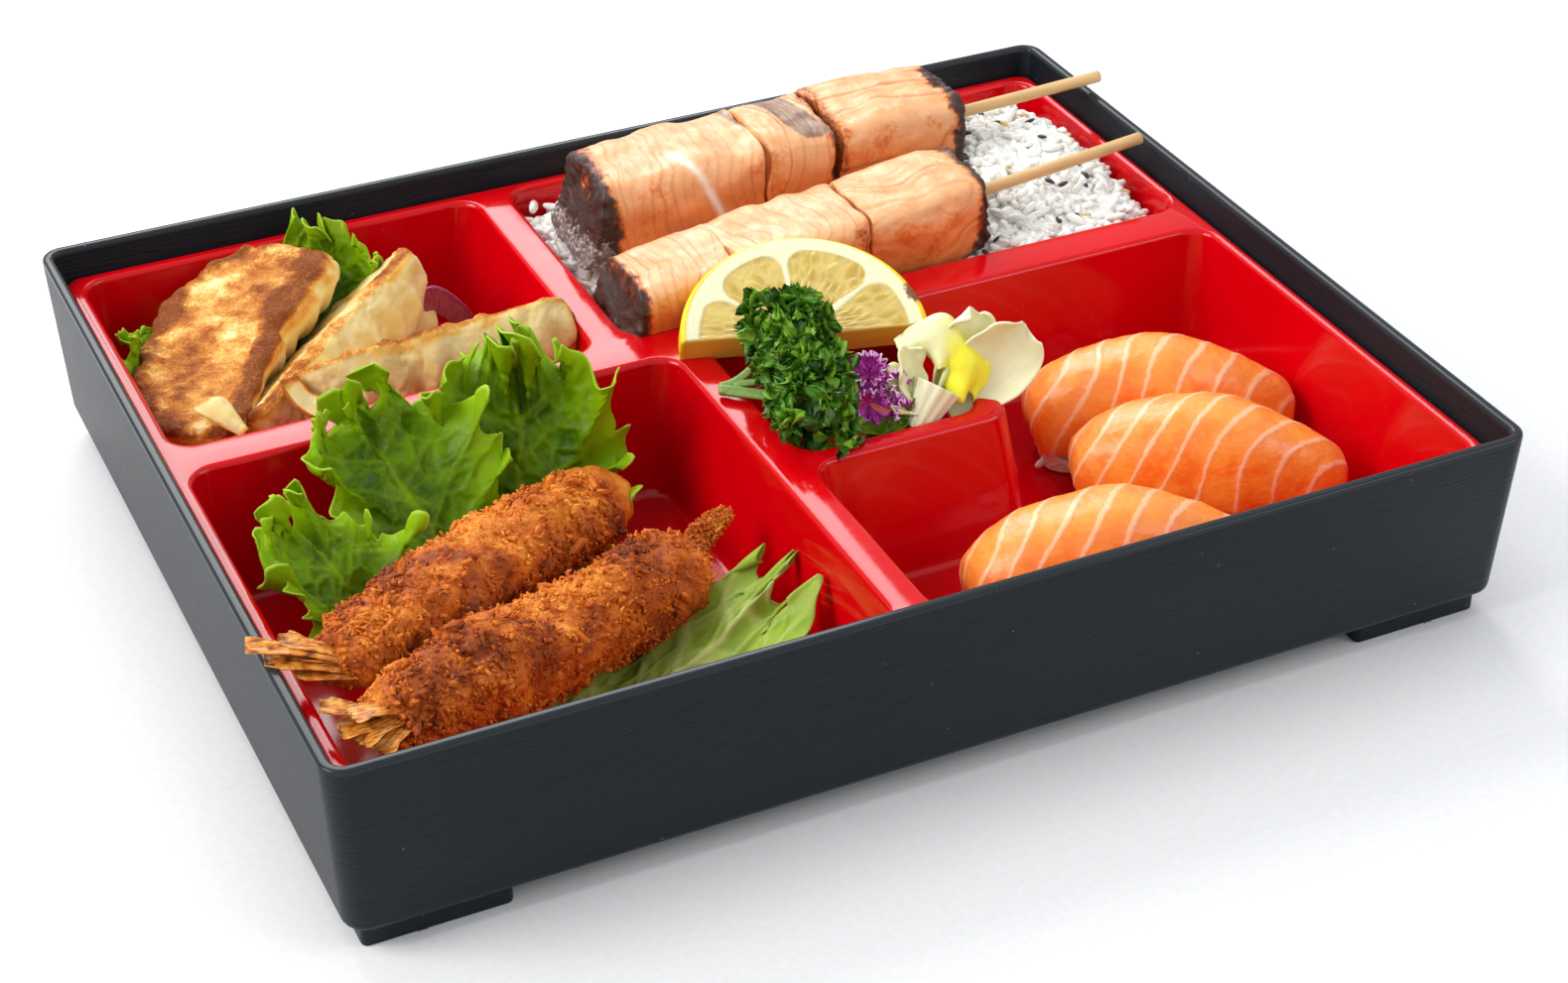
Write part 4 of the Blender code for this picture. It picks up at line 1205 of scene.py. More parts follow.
def flap(name, dough):
    """A loose thin edge of dough, curling away from its dumpling."""
    path, width, twist, browned, taper = FLAPS[name]

    def shape(u, v):
        half = width / 2 * (0.35 + 0.65 * np.sin(math.pi * (0.12 + 0.80 * v)))
        half = half * (1.0 - taper) + taper * width / 2 * (1.0 - 0.88 * v)
        curl = twist * u**2 + 0.5 * (1.0 - taper) * np.sin(7.0 * v + 2.0 * u)
        return beside_curve(path, v, u * half, curl, (0.2, -0.6, 0.8))

    piece = shaped_sheet(name, 24, 40, shape, FLAP_THICKNESS)
    spot = points_of(piece)
    rim = np.maximum(np.abs(marks(piece, "across")), np.abs(2.0 * marks(piece, "along") - 1.0))
    swell(piece, 0.3 * rough(spot, 3.0, 8))
    paint(piece, "sear", browned * step_up(rim + 0.2 * rough(spot, 4.0, 3), 0.70, 1.0))
    paint(piece, "base", 0.3 * step_up(rim, 0.8, 1.0))
    finished(piece, dough, "fried_dough")


def marks(piece, name):
    """The values painted on the piece under this name."""
    values = np.empty(len(piece.data.vertices), np.float32)
    piece.data.attributes[name].data.foreach_get("value", values)
    return values.astype(float)


# ---- fried prawns ----

PRAWN_LENGTH = 110.0
PRAWN_RADIUS = 11.2
NO_CRUMB = 9.0
MOST_CRUMBS = 5200

# Each prawn's curve from its tail to its blunt end, its share of the full size and its seed.
PRAWNS = {
    "prawn_back": (
        ((-139.0, -83.5, 49.0), (-110.0, -60.0, 42.0), (-76.0, -34.0, 33.0), (-43.0, -11.0, 26.0)),
        1.0, 2),
    "prawn_front": (
        ((-137.0, -103.0, 46.5), (-106.0, -88.0, 39.0), (-74.0, -71.0, 32.0),
         (-38.0, -50.0, 27.0)), 1.04, 5),
}


def prawn(name, crumb):
    """A prawn in coarse breadcrumbs: thin at the tail and thick to a blunt end."""
    path, size, seed = PRAWNS[name]

    def shape(turn, share):
        taper = np.minimum(1.0, 0.58 + 1.5 * share)
        blunt = rounded(share, 0.88, 0.12, 2)
        spot = spots(share * PRAWN_LENGTH, 12.0 * np.cos(turn), 12.0 * np.sin(turn))
        lumps = 1.0 + 0.15 * lump(spot, 13.0, seed) + 0.10 * lump(spot, 6.0, seed + 1)
        radius = PRAWN_RADIUS * size * taper * blunt * closing(share, 40.0) * lumps
        return round_curve(path, share, turn, radius)

    core, share = shaped_ball(name + "_core", 140, 248, shape)
    smoother = step_up(share, 0.80, 0.93) * (name == "prawn_back")
    spot = points_of(core)
    near, _ = cell_gap(spot + 0.8 * lump(spot, 2.0, 3)[:, None], 2.5, seed)
    bumps = 0.85 * rough(spot, 4.0, seed + 2) + 0.9 * (0.6 - near) + 0.35 * rough(spot, 1.1, seed)
    bare = step_up(rough(spot, 15.0, seed + 8), 0.05, 0.55)
    bumps = bumps * (1.0 - 0.5 * smoother) * (1.0 - 0.35 * bare)
    swell(core, bumps + 0.8 * lump(spot, 9.0, seed + 9))
    dark = 0.60 * rough(spot, 15.0, seed + 4) + 0.55 * rough(spot, 5.0, seed + 6) + 0.35 * smoother
    paint(core, "toast", dark)
    paint(core, "shade", 0.35)
    finished(core, crumb, "fried_crumb", name)
    few = (smoother > 0.6) | (bare > np.random.default_rng(seed).uniform(0.15, 1.4, len(bare)))
    crumbs = loose_crumbs(name, core, np.where(few, NO_CRUMB, dark), seed)
    finished(crumbs, crumb, "fried_crumb", name)


def crumb_patterns():
    """Four shards of breadcrumb, each a dented, drawn-out lump."""
    made = []
    for kind in range(4):
        deselect()
        bpy.ops.mesh.primitive_ico_sphere_add(subdivisions=1, radius=MM)
        shard = added("shard")
        points = points_of(shard)
        stretch = (1.0 + 0.28 * kind, 0.8, 0.5 + 0.12 * kind)
        bent = points * (1.0 + 0.55 * lump(points, 0.8, kind)[:, None]) * stretch
        bent[:, 2] += 0.25 * bent[:, 0] ** 2 * (kind % 2 - 0.4)
        put_points(shard, bent)
        made.append(pattern(shard))
    return made


def loose_crumbs(name, core, dark, seed):
    """Crumbs standing proud all over the core, larger in patches, and left off where the core is
    marked bare.
    """
    rng = np.random.default_rng(seed)
    points, facing = skin(core)
    count = min(MOST_CRUMBS, len(points) // 3)
    chosen = rng.choice(len(points), count, replace=False)
    in_tray = (points[:, 2] > 10.0) & (points[:, 1] > -116.0)
    chosen = chosen[(in_tray & (dark < NO_CRUMB))[chosen]]
    places, out = points[chosen], facing[chosen]
    ahead = rng.normal(0.0, 1.0, places.shape) + 0.25 * out
    heap = 0.85 + 0.5 * np.clip(lump(places, 7.0, seed + 3), -0.6, 1.0)
    sizes = rng.lognormal(-0.68, 0.42, (len(places), 1)) * heap[:, None] * (1.0, 0.9, 0.85)
    axes = axes_for(ahead, out, np.clip(sizes, 0.2, 1.5))
    places = places + out * rng.uniform(0.0, 0.9, (len(places), 1))
    kind = rng.integers(0, 4, len(places))
    shapes = crumb_patterns()
    lots = by_kind(shapes, kind, places, axes)
    piece = strewn(name + "_crumbs", lots, smooth_faces=False)
    order = np.concatenate([chosen[kind == k] for k in range(4)])
    paint(piece, "toast", np.repeat(dark[order], len(shapes[0][0])))
    return piece


def fried_crumb():
    """Deep golden breadcrumb, browner in patches and paler on its sharpest crumbs."""
    finish = Finish("fried_breadcrumb")
    speck = finish.cloud(0.8, detail=4.0, rough=0.7)
    medium = finish.cloud(3.0, detail=3.0)
    tone = finish.mark("toast") * 0.50 + finish.mark("shade") * 0.22 + speck * 0.55 + medium * 0.35
    colour = finish.ramp(
        tone - 0.03,
        (0.14, (0.11, 0.017, 0.001)), (0.34, (0.34, 0.060, 0.004)), (0.52, (0.58, 0.135, 0.008)),
        (0.70, (0.77, 0.245, 0.020)), (0.95, (0.92, 0.480, 0.090)),
    )
    finish.set(
        Base_Color=colour,
        Roughness=finish.spread(speck, 0.3, 0.7, 0.42, 0.68),
        Specular_IOR_Level=0.28,
    )
    finish.soak(0.2, (1.0, 0.4, 0.12), 1.5)
    finish.relief(speck, 0.4, 0.8)
    return finish


TORN_END = ((-41.0, -51.0, 26.0), (-37.5, -49.5, 31.0), (-33.0, -46.5, 35.5), (-27.3, -49.0, 37.2))


def torn_end(crumb):
    """The thin twisted end of batter on the front prawn."""

    def shape(turn, share):
        radius = (4.6 - 3.3 * share) * closing(share, 16.0)
        flat = 1.0 - 0.45 * np.cos(turn - 3.0 * share) ** 2
        return round_curve(TORN_END, share, turn, radius * flat)

    tip, _ = shaped_ball("prawn_front_torn_end", 60, 90, shape)
    spot = points_of(tip)
    swell(tip, 0.9 * rough(spot, 3.0, 4) + 0.35 * rough(spot, 1.0, 5))
    dark = 0.5 * rough(spot, 5.0, 6) - 0.1
    paint(tip, "toast", dark)
    paint(tip, "shade", 0.4)
    crumbs = loose_crumbs("prawn_front_torn_end", tip, dark, 9)
    finished(tip, crumb, "fried_crumb", "prawn_front")
    finished(crumbs, crumb, "fried_crumb", "prawn_front")


# Each blade of the tails: its curve, width and thickness.
TAIL_BLADES = {
    "prawn_back_tail": (
        (((-134.0, -83.0, 48.0), (-146.0, -82.5, 57.0), (-157.6, -78.6, 57.0)), 5.6, 1.0),
        (((-134.0, -84.0, 47.0), (-145.0, -84.5, 53.5), (-154.5, -81.8, 54.0)), 6.2, 0.9),
        (((-134.0, -82.0, 49.5), (-144.0, -80.5, 56.0), (-150.0, -78.0, 56.0)), 6.0, 0.8),
        (((-134.0, -85.0, 46.5), (-143.0, -86.0, 50.5), (-148.5, -84.4, 51.0)), 6.6, 0.9),
        (((-134.0, -82.5, 48.0), (-142.0, -81.0, 52.5), (-146.0, -80.0, 53.0)), 7.0, 1.0),
    ),
    "prawn_front_tail": (
        (((-131.0, -102.5, 47.0), (-141.0, -103.0, 51.5), (-148.2, -100.8, 53.0)), 6.0, 0.9),
        (((-131.0, -104.0, 46.0), (-140.0, -105.8, 49.5), (-145.5, -105.6, 48.6)), 7.0, 1.0),
        (((-131.0, -105.0, 47.5), (-138.0, -108.2, 49.5), (-142.5, -109.8, 47.6)), 7.0, 0.9),
        (((-131.0, -103.5, 49.0), (-138.5, -104.8, 52.4), (-142.5, -105.2, 51.5)), 7.0, 0.9),
        (((-130.0, -106.0, 46.0), (-135.5, -109.8, 47.2), (-138.5, -111.8, 45.2)), 6.4, 0.9),
    ),
}


def prawn_tail(name, shell):
    """A fan of thin shell blades, ridged along their length and ragged at their ends."""
    blades = []
    for path, width, thick in TAIL_BLADES[name]:

        def shape(turn, share):
            across, above = np.cos(turn), np.sin(turn)
            frayed = lump(spots(across * 4.2, share * 7.0, path[2][0]), 1.0, 2)
            half = width / 2 * (0.55 + 0.55 * share) * (1.0 + 0.38 * frayed * share)
            half = half * closing(share, 9.0) * (1.0 - 0.45 * step_up(share, 0.80, 1.0))
            ridge = 1.0 + 0.40 * np.cos(4.0 * across * math.pi)
            tall = thick / 2 * closing(share, 12.0) * ridge * (1.5 - 0.8 * share)
            dish = 1.1 * across**2 * share + 0.5 * frayed * step_up(share, 0.3, 1.0)
            share = held(share + (0.06 + 0.17 * frayed) * step_up(share, 0.5, 1.0))
            return beside_curve(path, share, half * across, tall * above + dish)

        blades.append(shaped_ball("blade", 40, 56, shape)[0])
    tail = blades[0]
    take(tail)
    for blade in blades[1:]:
        blade.select_set(True)
    bpy.ops.object.join()
    tail.name = name + "_shell"
    turn_out(tail)
    finished(tail, shell, "prawn_shell", name)


def prawn_shell():
    """Thin orange shell, see-through, with amber and toasted brown patches."""
    finish = Finish("fried_prawn_shell")
    stripes = finish.cloud(0.7, finish.place((0.35, 1.0, 1.0)), 3.0)
    blotch = finish.cloud(3.0, detail=3.0)
    colour = finish.ramp(
        blotch * 0.6 + stripes * 0.4,
        (0.34, (0.16, 0.036, 0.006)), (0.46, (0.52, 0.150, 0.016)), (0.58, (0.80, 0.340, 0.050)),
        (0.76, (0.90, 0.600, 0.220)),
    )
    finish.set(
        Base_Color=colour,
        Roughness=finish.spread(stripes, 0.3, 0.7, 0.20, 0.42),
    )
    finish.soak(0.3, (1.0, 0.5, 0.2), 2.0)
    finish.relief(stripes, 0.25, 0.8)
    return finish


# ---- salmon nigiri ----

# Each one's middle, the way it points, its size and where its lines of fat start.
NIGIRI = {
    "nigiri_back": ((107.0, -31.0), (0.95, -0.30), 1.02, 1.5),
    "nigiri_middle": ((103.0, -62.0), (0.91, -0.42), 1.0, 4.5),
    "nigiri_front": ((56.5, -92.0), (0.985, -0.17), 1.06, 7.0),
}
NIGIRI_HALF = (32.5, 12.6, 27.5)
NIGIRI_BASE = 8.3
FAT_SPACING = 9.6
SLICE_THICKNESS = 5.2
SLICE_LIFT = 0.6
PRESSED_GRAINS = 520


def mound(long_turn, cross_turn, grow):
    """A point on the pressed rice, or `grow` outside it. Its right end is longer and lower."""
    half_length, half_width, height = NIGIRI_HALF
    ring = np.cos(long_turn) ** 0.55
    across = np.cos(cross_turn)
    side = np.sign(across) * np.abs(across) ** 0.75
    rise = np.abs(np.sin(cross_turn)) ** 0.75
    x = (half_length + grow) * np.sin(long_turn)
    low = 1.0 - 0.22 * step_up(np.sin(long_turn), 0.0, 1.0)
    x = x * (1.0 + 0.05 * step_up(np.sin(long_turn), 0.0, 1.0))
    return spots(x, (half_width + grow) * ring * side * low, (height + grow) * ring * rise * low)


def nigiri_place(name, points):
    (x, y), along, size, _ = NIGIRI[name]
    return at_place((x, y, NIGIRI_BASE), (*along, 0.0), (0, 0, 1), points * size)


def nigiri_slice(name, fish):
    """The slice of salmon over the rice, thick in its middle, with a rounded thin edge."""
    lines = NIGIRI[name][3]
    local = {}

    def shape(turn, share):
        long_turn = np.radians(-82.0 + 164.0 * share)
        ragged = lump(spots(share * 9.0, np.cos(turn), 0.0), 1.0, int(lines) + 3)
        reach = 78.0 * (1.0 - 0.10 * step_up(np.abs(share - 0.5), 0.25, 0.5)) + 4.5 * ragged
        cross = np.radians(90.0 - reach * np.cos(turn) * closing(share, 14.0))
        body = SLICE_THICKNESS * (0.5 + 0.5 * np.sin(cross)) * closing(share, 9.0)
        over = 0.5 + 0.5 * np.sign(np.sin(turn)) * np.abs(np.sin(turn)) ** 0.6
        lift = SLICE_LIFT + body * over
        points = mound(long_turn, cross, lift)
        local["cross"], local["x"] = 1.0 - cross / math.pi, points[:, 0]
        return nigiri_place(name, points)

    piece, share = shaped_ball(name + "_slice", 134, 150, shape)
    back = local["cross"]
    run = local["x"] + 3.0 * lump(points_of(piece), 17.0, int(lines))
    sweep = (46.0 if name == "nigiri_back" else 54.0) * held(back) ** 1.8
    paint(piece, "line", (run - sweep + lines) / FAT_SPACING)
    paint(piece, "back", back)
    paint(piece, "end", np.abs(share - 0.5) * 2.0)
    phase = marks(piece, "line")
    gap = np.abs(phase - np.round(phase)) * FAT_SPACING
    spot = points_of(piece)
    swell(piece, 0.5 * lump(spot, 12.0, 3) + 0.22 * crest(gap) + 0.10 * rough(spot, 3.0, 4))
    finished(piece, fish, "raw_salmon", name + "_salmon")


def raw_salmon():
    """Glossy orange salmon with curved pale lines of fat."""
    finish = Finish("raw_salmon_slice")
    wobble = (finish.cloud(2.4, detail=3.0) - 0.5) * 0.16
    phase = finish.mark("line") + wobble
    back = finish.mark("back")
    nearest = phase.math("ROUND")
    gap = (phase - nearest).math("ABSOLUTE")
    thin = finish.spread(back, 0.10, 0.50, 0.055, 0.105)
    fat = 1.0 - finish.spread(gap / thin, 0.45, 1.25)
    patch = finish.cloud(8.0, detail=3.0)
    muscle = finish.cloud(1.1, finish.place((0.5, 0.5, 1.0)), 4.0)
    flesh = finish.mix(finish.spread(patch, 0.35, 0.65), (0.88, 0.165, 0.012), (0.93, 0.290, 0.028))
    # painted light: the slice's top and back are painted a lighter orange than its front edge
    top = finish.spread(back, 0.18, 0.5) * 0.55
    flesh = finish.mix(top, flesh, (0.94, 0.355, 0.060))
    flesh = finish.mix(finish.spread(muscle, 0.45, 0.75) * 0.28, flesh, (0.96, 0.46, 0.12))
    halo = (1.0 - finish.spread(gap / thin, 1.0, 4.5)) * 0.25
    flesh = finish.mix(halo, flesh, (0.95, 0.34, 0.10))
    flesh = finish.mix(fat * 0.85, flesh, (0.97, 0.55, 0.31))
    dark = finish.spread(finish.mark("end") + patch * 0.1, 0.93, 1.02)
    finish.set(
        Base_Color=finish.mix(dark * 0.5, flesh, (0.40, 0.09, 0.035)),
        Roughness=finish.spread(finish.cloud(4.0), 0.35, 0.65, 0.22, 0.40),
        Specular_IOR_Level=0.40,
        Coat_Weight=0.08,
        Coat_Roughness=0.12,
    )
    finish.soak(0.2, (1.0, 0.35, 0.10), 2.0)
    finish.relief(muscle * 0.7 + fat * 0.3 + finish.cloud(3.0) * 0.8, 0.28, 0.7)
    return finish


def nigiri_rice(name, cooked):
    """Pressed rice: a mound of grains over a smaller core."""
    seed = list(NIGIRI).index(name)
    rng = np.random.default_rng(seed + 40)

    def shape(turn, share):
        long_turn = np.radians(-84.0 + 168.0 * share)
        cross = math.pi * (0.5 - 0.5 * np.cos(turn))
        over = mound(long_turn, cross, -1.6)
        under = over * (1.0, 1.0, 0.0) + (0.0, 0.0, 0.3)
        points = np.where((np.sin(turn) > 0.0)[:, None], over, under)
        points[:, 2] = np.maximum(points[:, 2], 0.3)
        return nigiri_place(name, shaken(points, 0.3, 2.5))

    core, _ = shaped_ball(name + "_rice_core", 64, 72, shape)
    paint(core, "shade", 0.4)
    count = PRESSED_GRAINS
    long_turn = np.radians(rng.uniform(-80.0, 80.0, count))
    side = rng.random(count) < 0.5
    cross = np.where(side, rng.uniform(0.03, 0.30, count), rng.uniform(0.70, 0.97, count)) * math.pi
    places = nigiri_place(name, mound(long_turn, cross, -1.2))
    places[:, 2] = np.maximum(places[:, 2], 9.6)
    sizes = rng.uniform(0.75, 0.95, count)
    grains = strewn(name + "_rice_grains", loose_grains(rng, places, sizes, 0.6))
    finished(core, cooked, "cooked_rice", name + "_rice")
    finished(grains, cooked, "cooked_rice", name + "_rice")


# ---- lettuce ----

LEAF_LENGTH = 62.0
LEAF_THICKNESS = 0.40
BRANCH_SPACING = 10.5
BRANCH_SLOPE = 0.75
NET_SPACING = 6.6

# Each leaf's curved rib, width, cup, ruffle, waves and how pale it is.
LEAVES = {
    "lettuce_back": (
        ((-70.0, -16.0, 12.0), (-66.0, -4.0, 22.0), (-61.0, 7.0, 38.0), (-60.0, 13.5, 60.0)),
        56.0, 2.0, 5.0, 6, 0.0),
    "lettuce_left": (
        ((-84.0, -32.0, 16.0), (-92.0, -14.0, 30.0), (-98.0, 3.0, 42.0), (-104.0, 13.0, 57.0)),
        48.0, 4.0, 4.4, 5, 0.0),
    "lettuce_corner": (
        ((-102.0, -54.0, 18.0), (-116.0, -47.0, 31.0), (-127.0, -34.0, 43.0),
         (-134.0, -24.0, 52.0)), 40.0, 4.0, 3.4, 5, 0.0),
    "lettuce_front": (
        ((-104.0, -100.0, 10.0), (-84.0, -92.0, 12.0), (-56.0, -80.0, 17.0), (-23.0, -70.0, 25.0)),
        50.0, 2.5, 2.2, 3, 0.75),
    "gyoza_lettuce_back": (
        ((-88.0, 88.0, 16.0), (-86.0, 96.0, 26.0), (-82.0, 105.0, 38.0), (-78.0, 109.0, 52.0)),
        38.0, 1.5, 3.2, 4, 0.0),
    "gyoza_lettuce_left": (
        ((-124.0, 76.0, 12.0), (-131.0, 79.0, 20.0), (-137.0, 84.0, 32.0), (-141.0, 86.0, 44.0)),
        46.0, 1.0, 2.0, 3, 0.0),
}


def lettuce(name, leaf_green):
    """A leaf of frilled lettuce: blistered between its veins and ruffled at its margin."""
    rib, width, cup, ruffle, waves, pale = LEAVES[name]
    seed = 13 * list(LEAVES).index(name) + 5
    local = {}

    def shape(u, v):
        round_off = rounded(v, 0.72, 0.36, 2.2)
        half = width / 2 * (0.42 + 0.58 * np.sin(math.pi * held(v * 0.78 + 0.10))) * round_off
        margin = held(np.maximum(np.abs(u), (v - 0.55) / 0.45))
        around = np.arctan2(u * width, (v - 0.30) * LEAF_LENGTH)
        spot = spots(np.cos(around) * 3.0, np.sin(around) * 3.0, margin * 0.6)
        drift = 0.9 * lump(spot, 1.0, seed)
        first = 1.7 * waves * around + 2.6 * drift + seed
        second = 4.1 * waves * around + 3.4 * drift + 1.7 * seed
        tiny = lump(spot * 3.0, 1.0, seed + 2)
        third = 8.7 * waves * around + 4.5 * lump(spot * 1.7, 1.0, seed + 6)
        lift = cup * u**2 * 1.2 + ruffle * 1.5 * margin**2.2 * np.sin(first)
        lift += 0.85 * ruffle * margin**4 * np.sin(second)
        lift += 0.42 * ruffle * margin**6 * np.sin(third)
        swing = 0.50 * ruffle * margin**2.6 * np.cos(first)
        swing += 0.60 * ruffle * margin**4.5 * np.cos(second)
        swing += 0.42 * ruffle * margin**6 * np.cos(third)
        grown = 1.0 + 0.07 * margin**4 * np.sin(first + 1.0)
        grown += 0.05 * margin**7 * (np.sin(second) + tiny)
        grown += 0.07 * margin**9 * np.sin(third + 1.3)
        grown += 0.03 * margin**12 * np.sin(2.3 * third)
        side = u * half * grown + swing * np.cos(around)
        further = (grown - 1.0) * 0.7 * np.maximum(np.cos(around), 0.0)
        further -= swing / LEAF_LENGTH * np.sin(around)
        reach = np.clip(v + further * (v > 0.1), 0.0, 1.08)
        flat = spots(side, v * LEAF_LENGTH, 0.0)
        lift = lift + 3.4 * lump(flat, 21.0, seed + 3) + 1.2 * lump(flat, 9.0, seed + 4)
        local["flat"], local["margin"] = flat, margin
        return beside_curve(rib, reach, side, lift)

    piece = shaped_sheet(name + "_leaf", 122, 122, shape)
    flat, margin = local["flat"], local["margin"]
    bent = flat + 1.1 * spots(lump(flat, 8.0, seed), lump(flat, 8.0, seed + 9), 0.0)
    u, run = bent[:, 0], bent[:, 1]
    rib_gap = np.abs(u) / (1.5 - 0.9 * step_up(run, 0.0, 55.0))
    branch = (run - np.abs(u) * BRANCH_SLOPE + 1.5 * np.sign(u)) / BRANCH_SPACING
    branch_gap = np.abs(branch - np.round(branch)) * BRANCH_SPACING / 0.75
    _, wall = cell_gap(bent * (1.0, 1.0, 0.0), NET_SPACING, seed)
    net_gap = wall * NET_SPACING / 0.85
    veins = crest(rib_gap) + 0.6 * crest(branch_gap) * (1.0 - 0.6 * margin**3)
    veins = held(veins + 0.24 * crest(net_gap))
    pillow = 1.0 - crest(np.minimum(branch_gap * 0.75, net_gap * 0.85), 1.5)
    swell(piece, 0.85 * pillow * (1.0 - 0.6 * margin**4) - 0.5 * crest(rib_gap))
    paint(piece, "veins", veins)
    paint(piece, "margin", margin)
    paint(piece, "pale", pale)
    thicken(piece, LEAF_THICKNESS)
    shade_smooth(piece)
    finished(piece, leaf_green, "lettuce", name)


def lettuce_green():
    """Fresh green leaf: deeper between the veins, with painted shade over its inner leaf and
    painted light at its frilled edge, which is partly the leaf's own yellower edge.
    """
    finish = Finish("fresh_lettuce")
    veins, margin, pale = finish.mark("veins"), finish.mark("margin"), finish.mark("pale")
    blotch = finish.cloud(9.0, detail=3.0)
    mottle = finish.cloud(1.6, detail=3.0)
    patches = finish.spread(blotch, 0.36, 0.64)
    green = finish.mix(patches, (0.036, 0.092, 0.0003), (0.105, 0.215, 0.0004))
    # painted light and shade: darker inside the leaf, brighter and yellower towards its frilled
    # margin, partly the leaf's own paler edge
    green = finish.mix(finish.spread(margin, 0.45, 1.0) * 0.85, green, (0.27, 0.46, 0.003))
    green = finish.mix(finish.spread(mottle, 0.4, 0.7) * 0.22, green, (0.17, 0.35, 0.004))
    green = finish.mix(veins * 0.34, green, (0.27, 0.41, 0.006))
    # painted highlight: the outermost frill is painted a pale yellow-green
    green = finish.mix(finish.spread(margin, 0.975, 1.0) * 0.5, green, (0.50, 0.64, 0.08))
    light = finish.mix(blotch, (0.16, 0.29, 0.012), (0.42, 0.54, 0.10))
    light = finish.mix(veins * 0.7, light, (0.70, 0.76, 0.34))
    finish.set(
        Base_Color=finish.mix(pale, green, light),
        Roughness=finish.spread(blotch + mottle * 0.3, 0.35, 0.85, 0.26, 0.44),
        Specular_IOR_Level=0.11,
    )
    finish.soak(0.12, (0.5, 1.0, 0.05), 1.5)
    finish.relief(mottle * 0.7 - veins * 0.5, 0.35, 0.8)
    return finish


# The curve and width of each small leaf under the flowers.
GARNISH_LEAVES = {
    "garnish_leaf_1": (((9.0, -36.0, 46.0), (13.0, -38.0, 46.5), (18.0, -40.0, 43.0)), 5.0),
    "garnish_leaf_2": (((15.0, -40.0, 40.0), (20.0, -39.5, 44.0), (26.0, -41.0, 45.0)), 6.0),
    "garnish_leaf_3": (((25.0, -40.5, 41.0), (27.5, -40.5, 45.0), (29.0, -38.5, 50.0)), 4.0),
}


def garnish_leaf(name, leaf_green):
    """A small folded leaf under the flowers."""
    path, width = GARNISH_LEAVES[name]

    def shape(u, v):
        half = width / 2 * np.sin(math.pi * (0.08 + 0.90 * v)) ** 0.7
        return beside_curve(path, v, u * half, 0.22 * width * np.abs(u) ** 1.5, (0.3, -0.6, 0.7))

    piece = shaped_sheet(name, 16, 30, shape)
    u, v = marks(piece, "across"), marks(piece, "along")
    branch = v * 6.0 - np.abs(u) * 1.2
    paint(piece, "veins", held(crest(u, 0.10) + 0.5 * crest(branch - np.round(branch), 0.14)))
    paint(piece, "margin", 0.2)
    paint(piece, "pale", 0.08)
    thicken(piece, 0.5)
    finished(piece, leaf_green, "parsley_leaf")


# ---- lemon ----

LEMON_MIDDLE = (15.5, -3.0, 53.5)
LEMON_RADIUS = 33.0
LEMON_THICKNESS = 9.6
LEMON_CHORD = unit(np.array((0.955, -0.298, 0.0)))
LEMON_BACK = np.array((-LEMON_CHORD[1], LEMON_CHORD[0], 0.0))
LEMON_LEAN = math.radians(24.0)
LEMON_UPHILL = LEMON_BACK * math.cos(LEMON_LEAN) + np.array((0.0, 0.0, math.sin(LEMON_LEAN)))
LEMON_FACING = np.cross(LEMON_CHORD, LEMON_UPHILL)
PITH_RADIUS = 27.6
RIND_RADIUS = 30.6
SEGMENT_CORNER = 6.0
# The half slice's membranes, as angles from its right end, and the middle where they meet.
MEMBRANES = (-14.0, 38.0, 93.0, 143.0, 192.0)
CORE = (-1.5, -0.5)


def lemon_flat(points):
    """Places across, uphill and into the slice."""
    away = points - np.array(LEMON_MIDDLE)
    return away @ LEMON_CHORD, away @ LEMON_UPHILL, -(away @ LEMON_FACING)


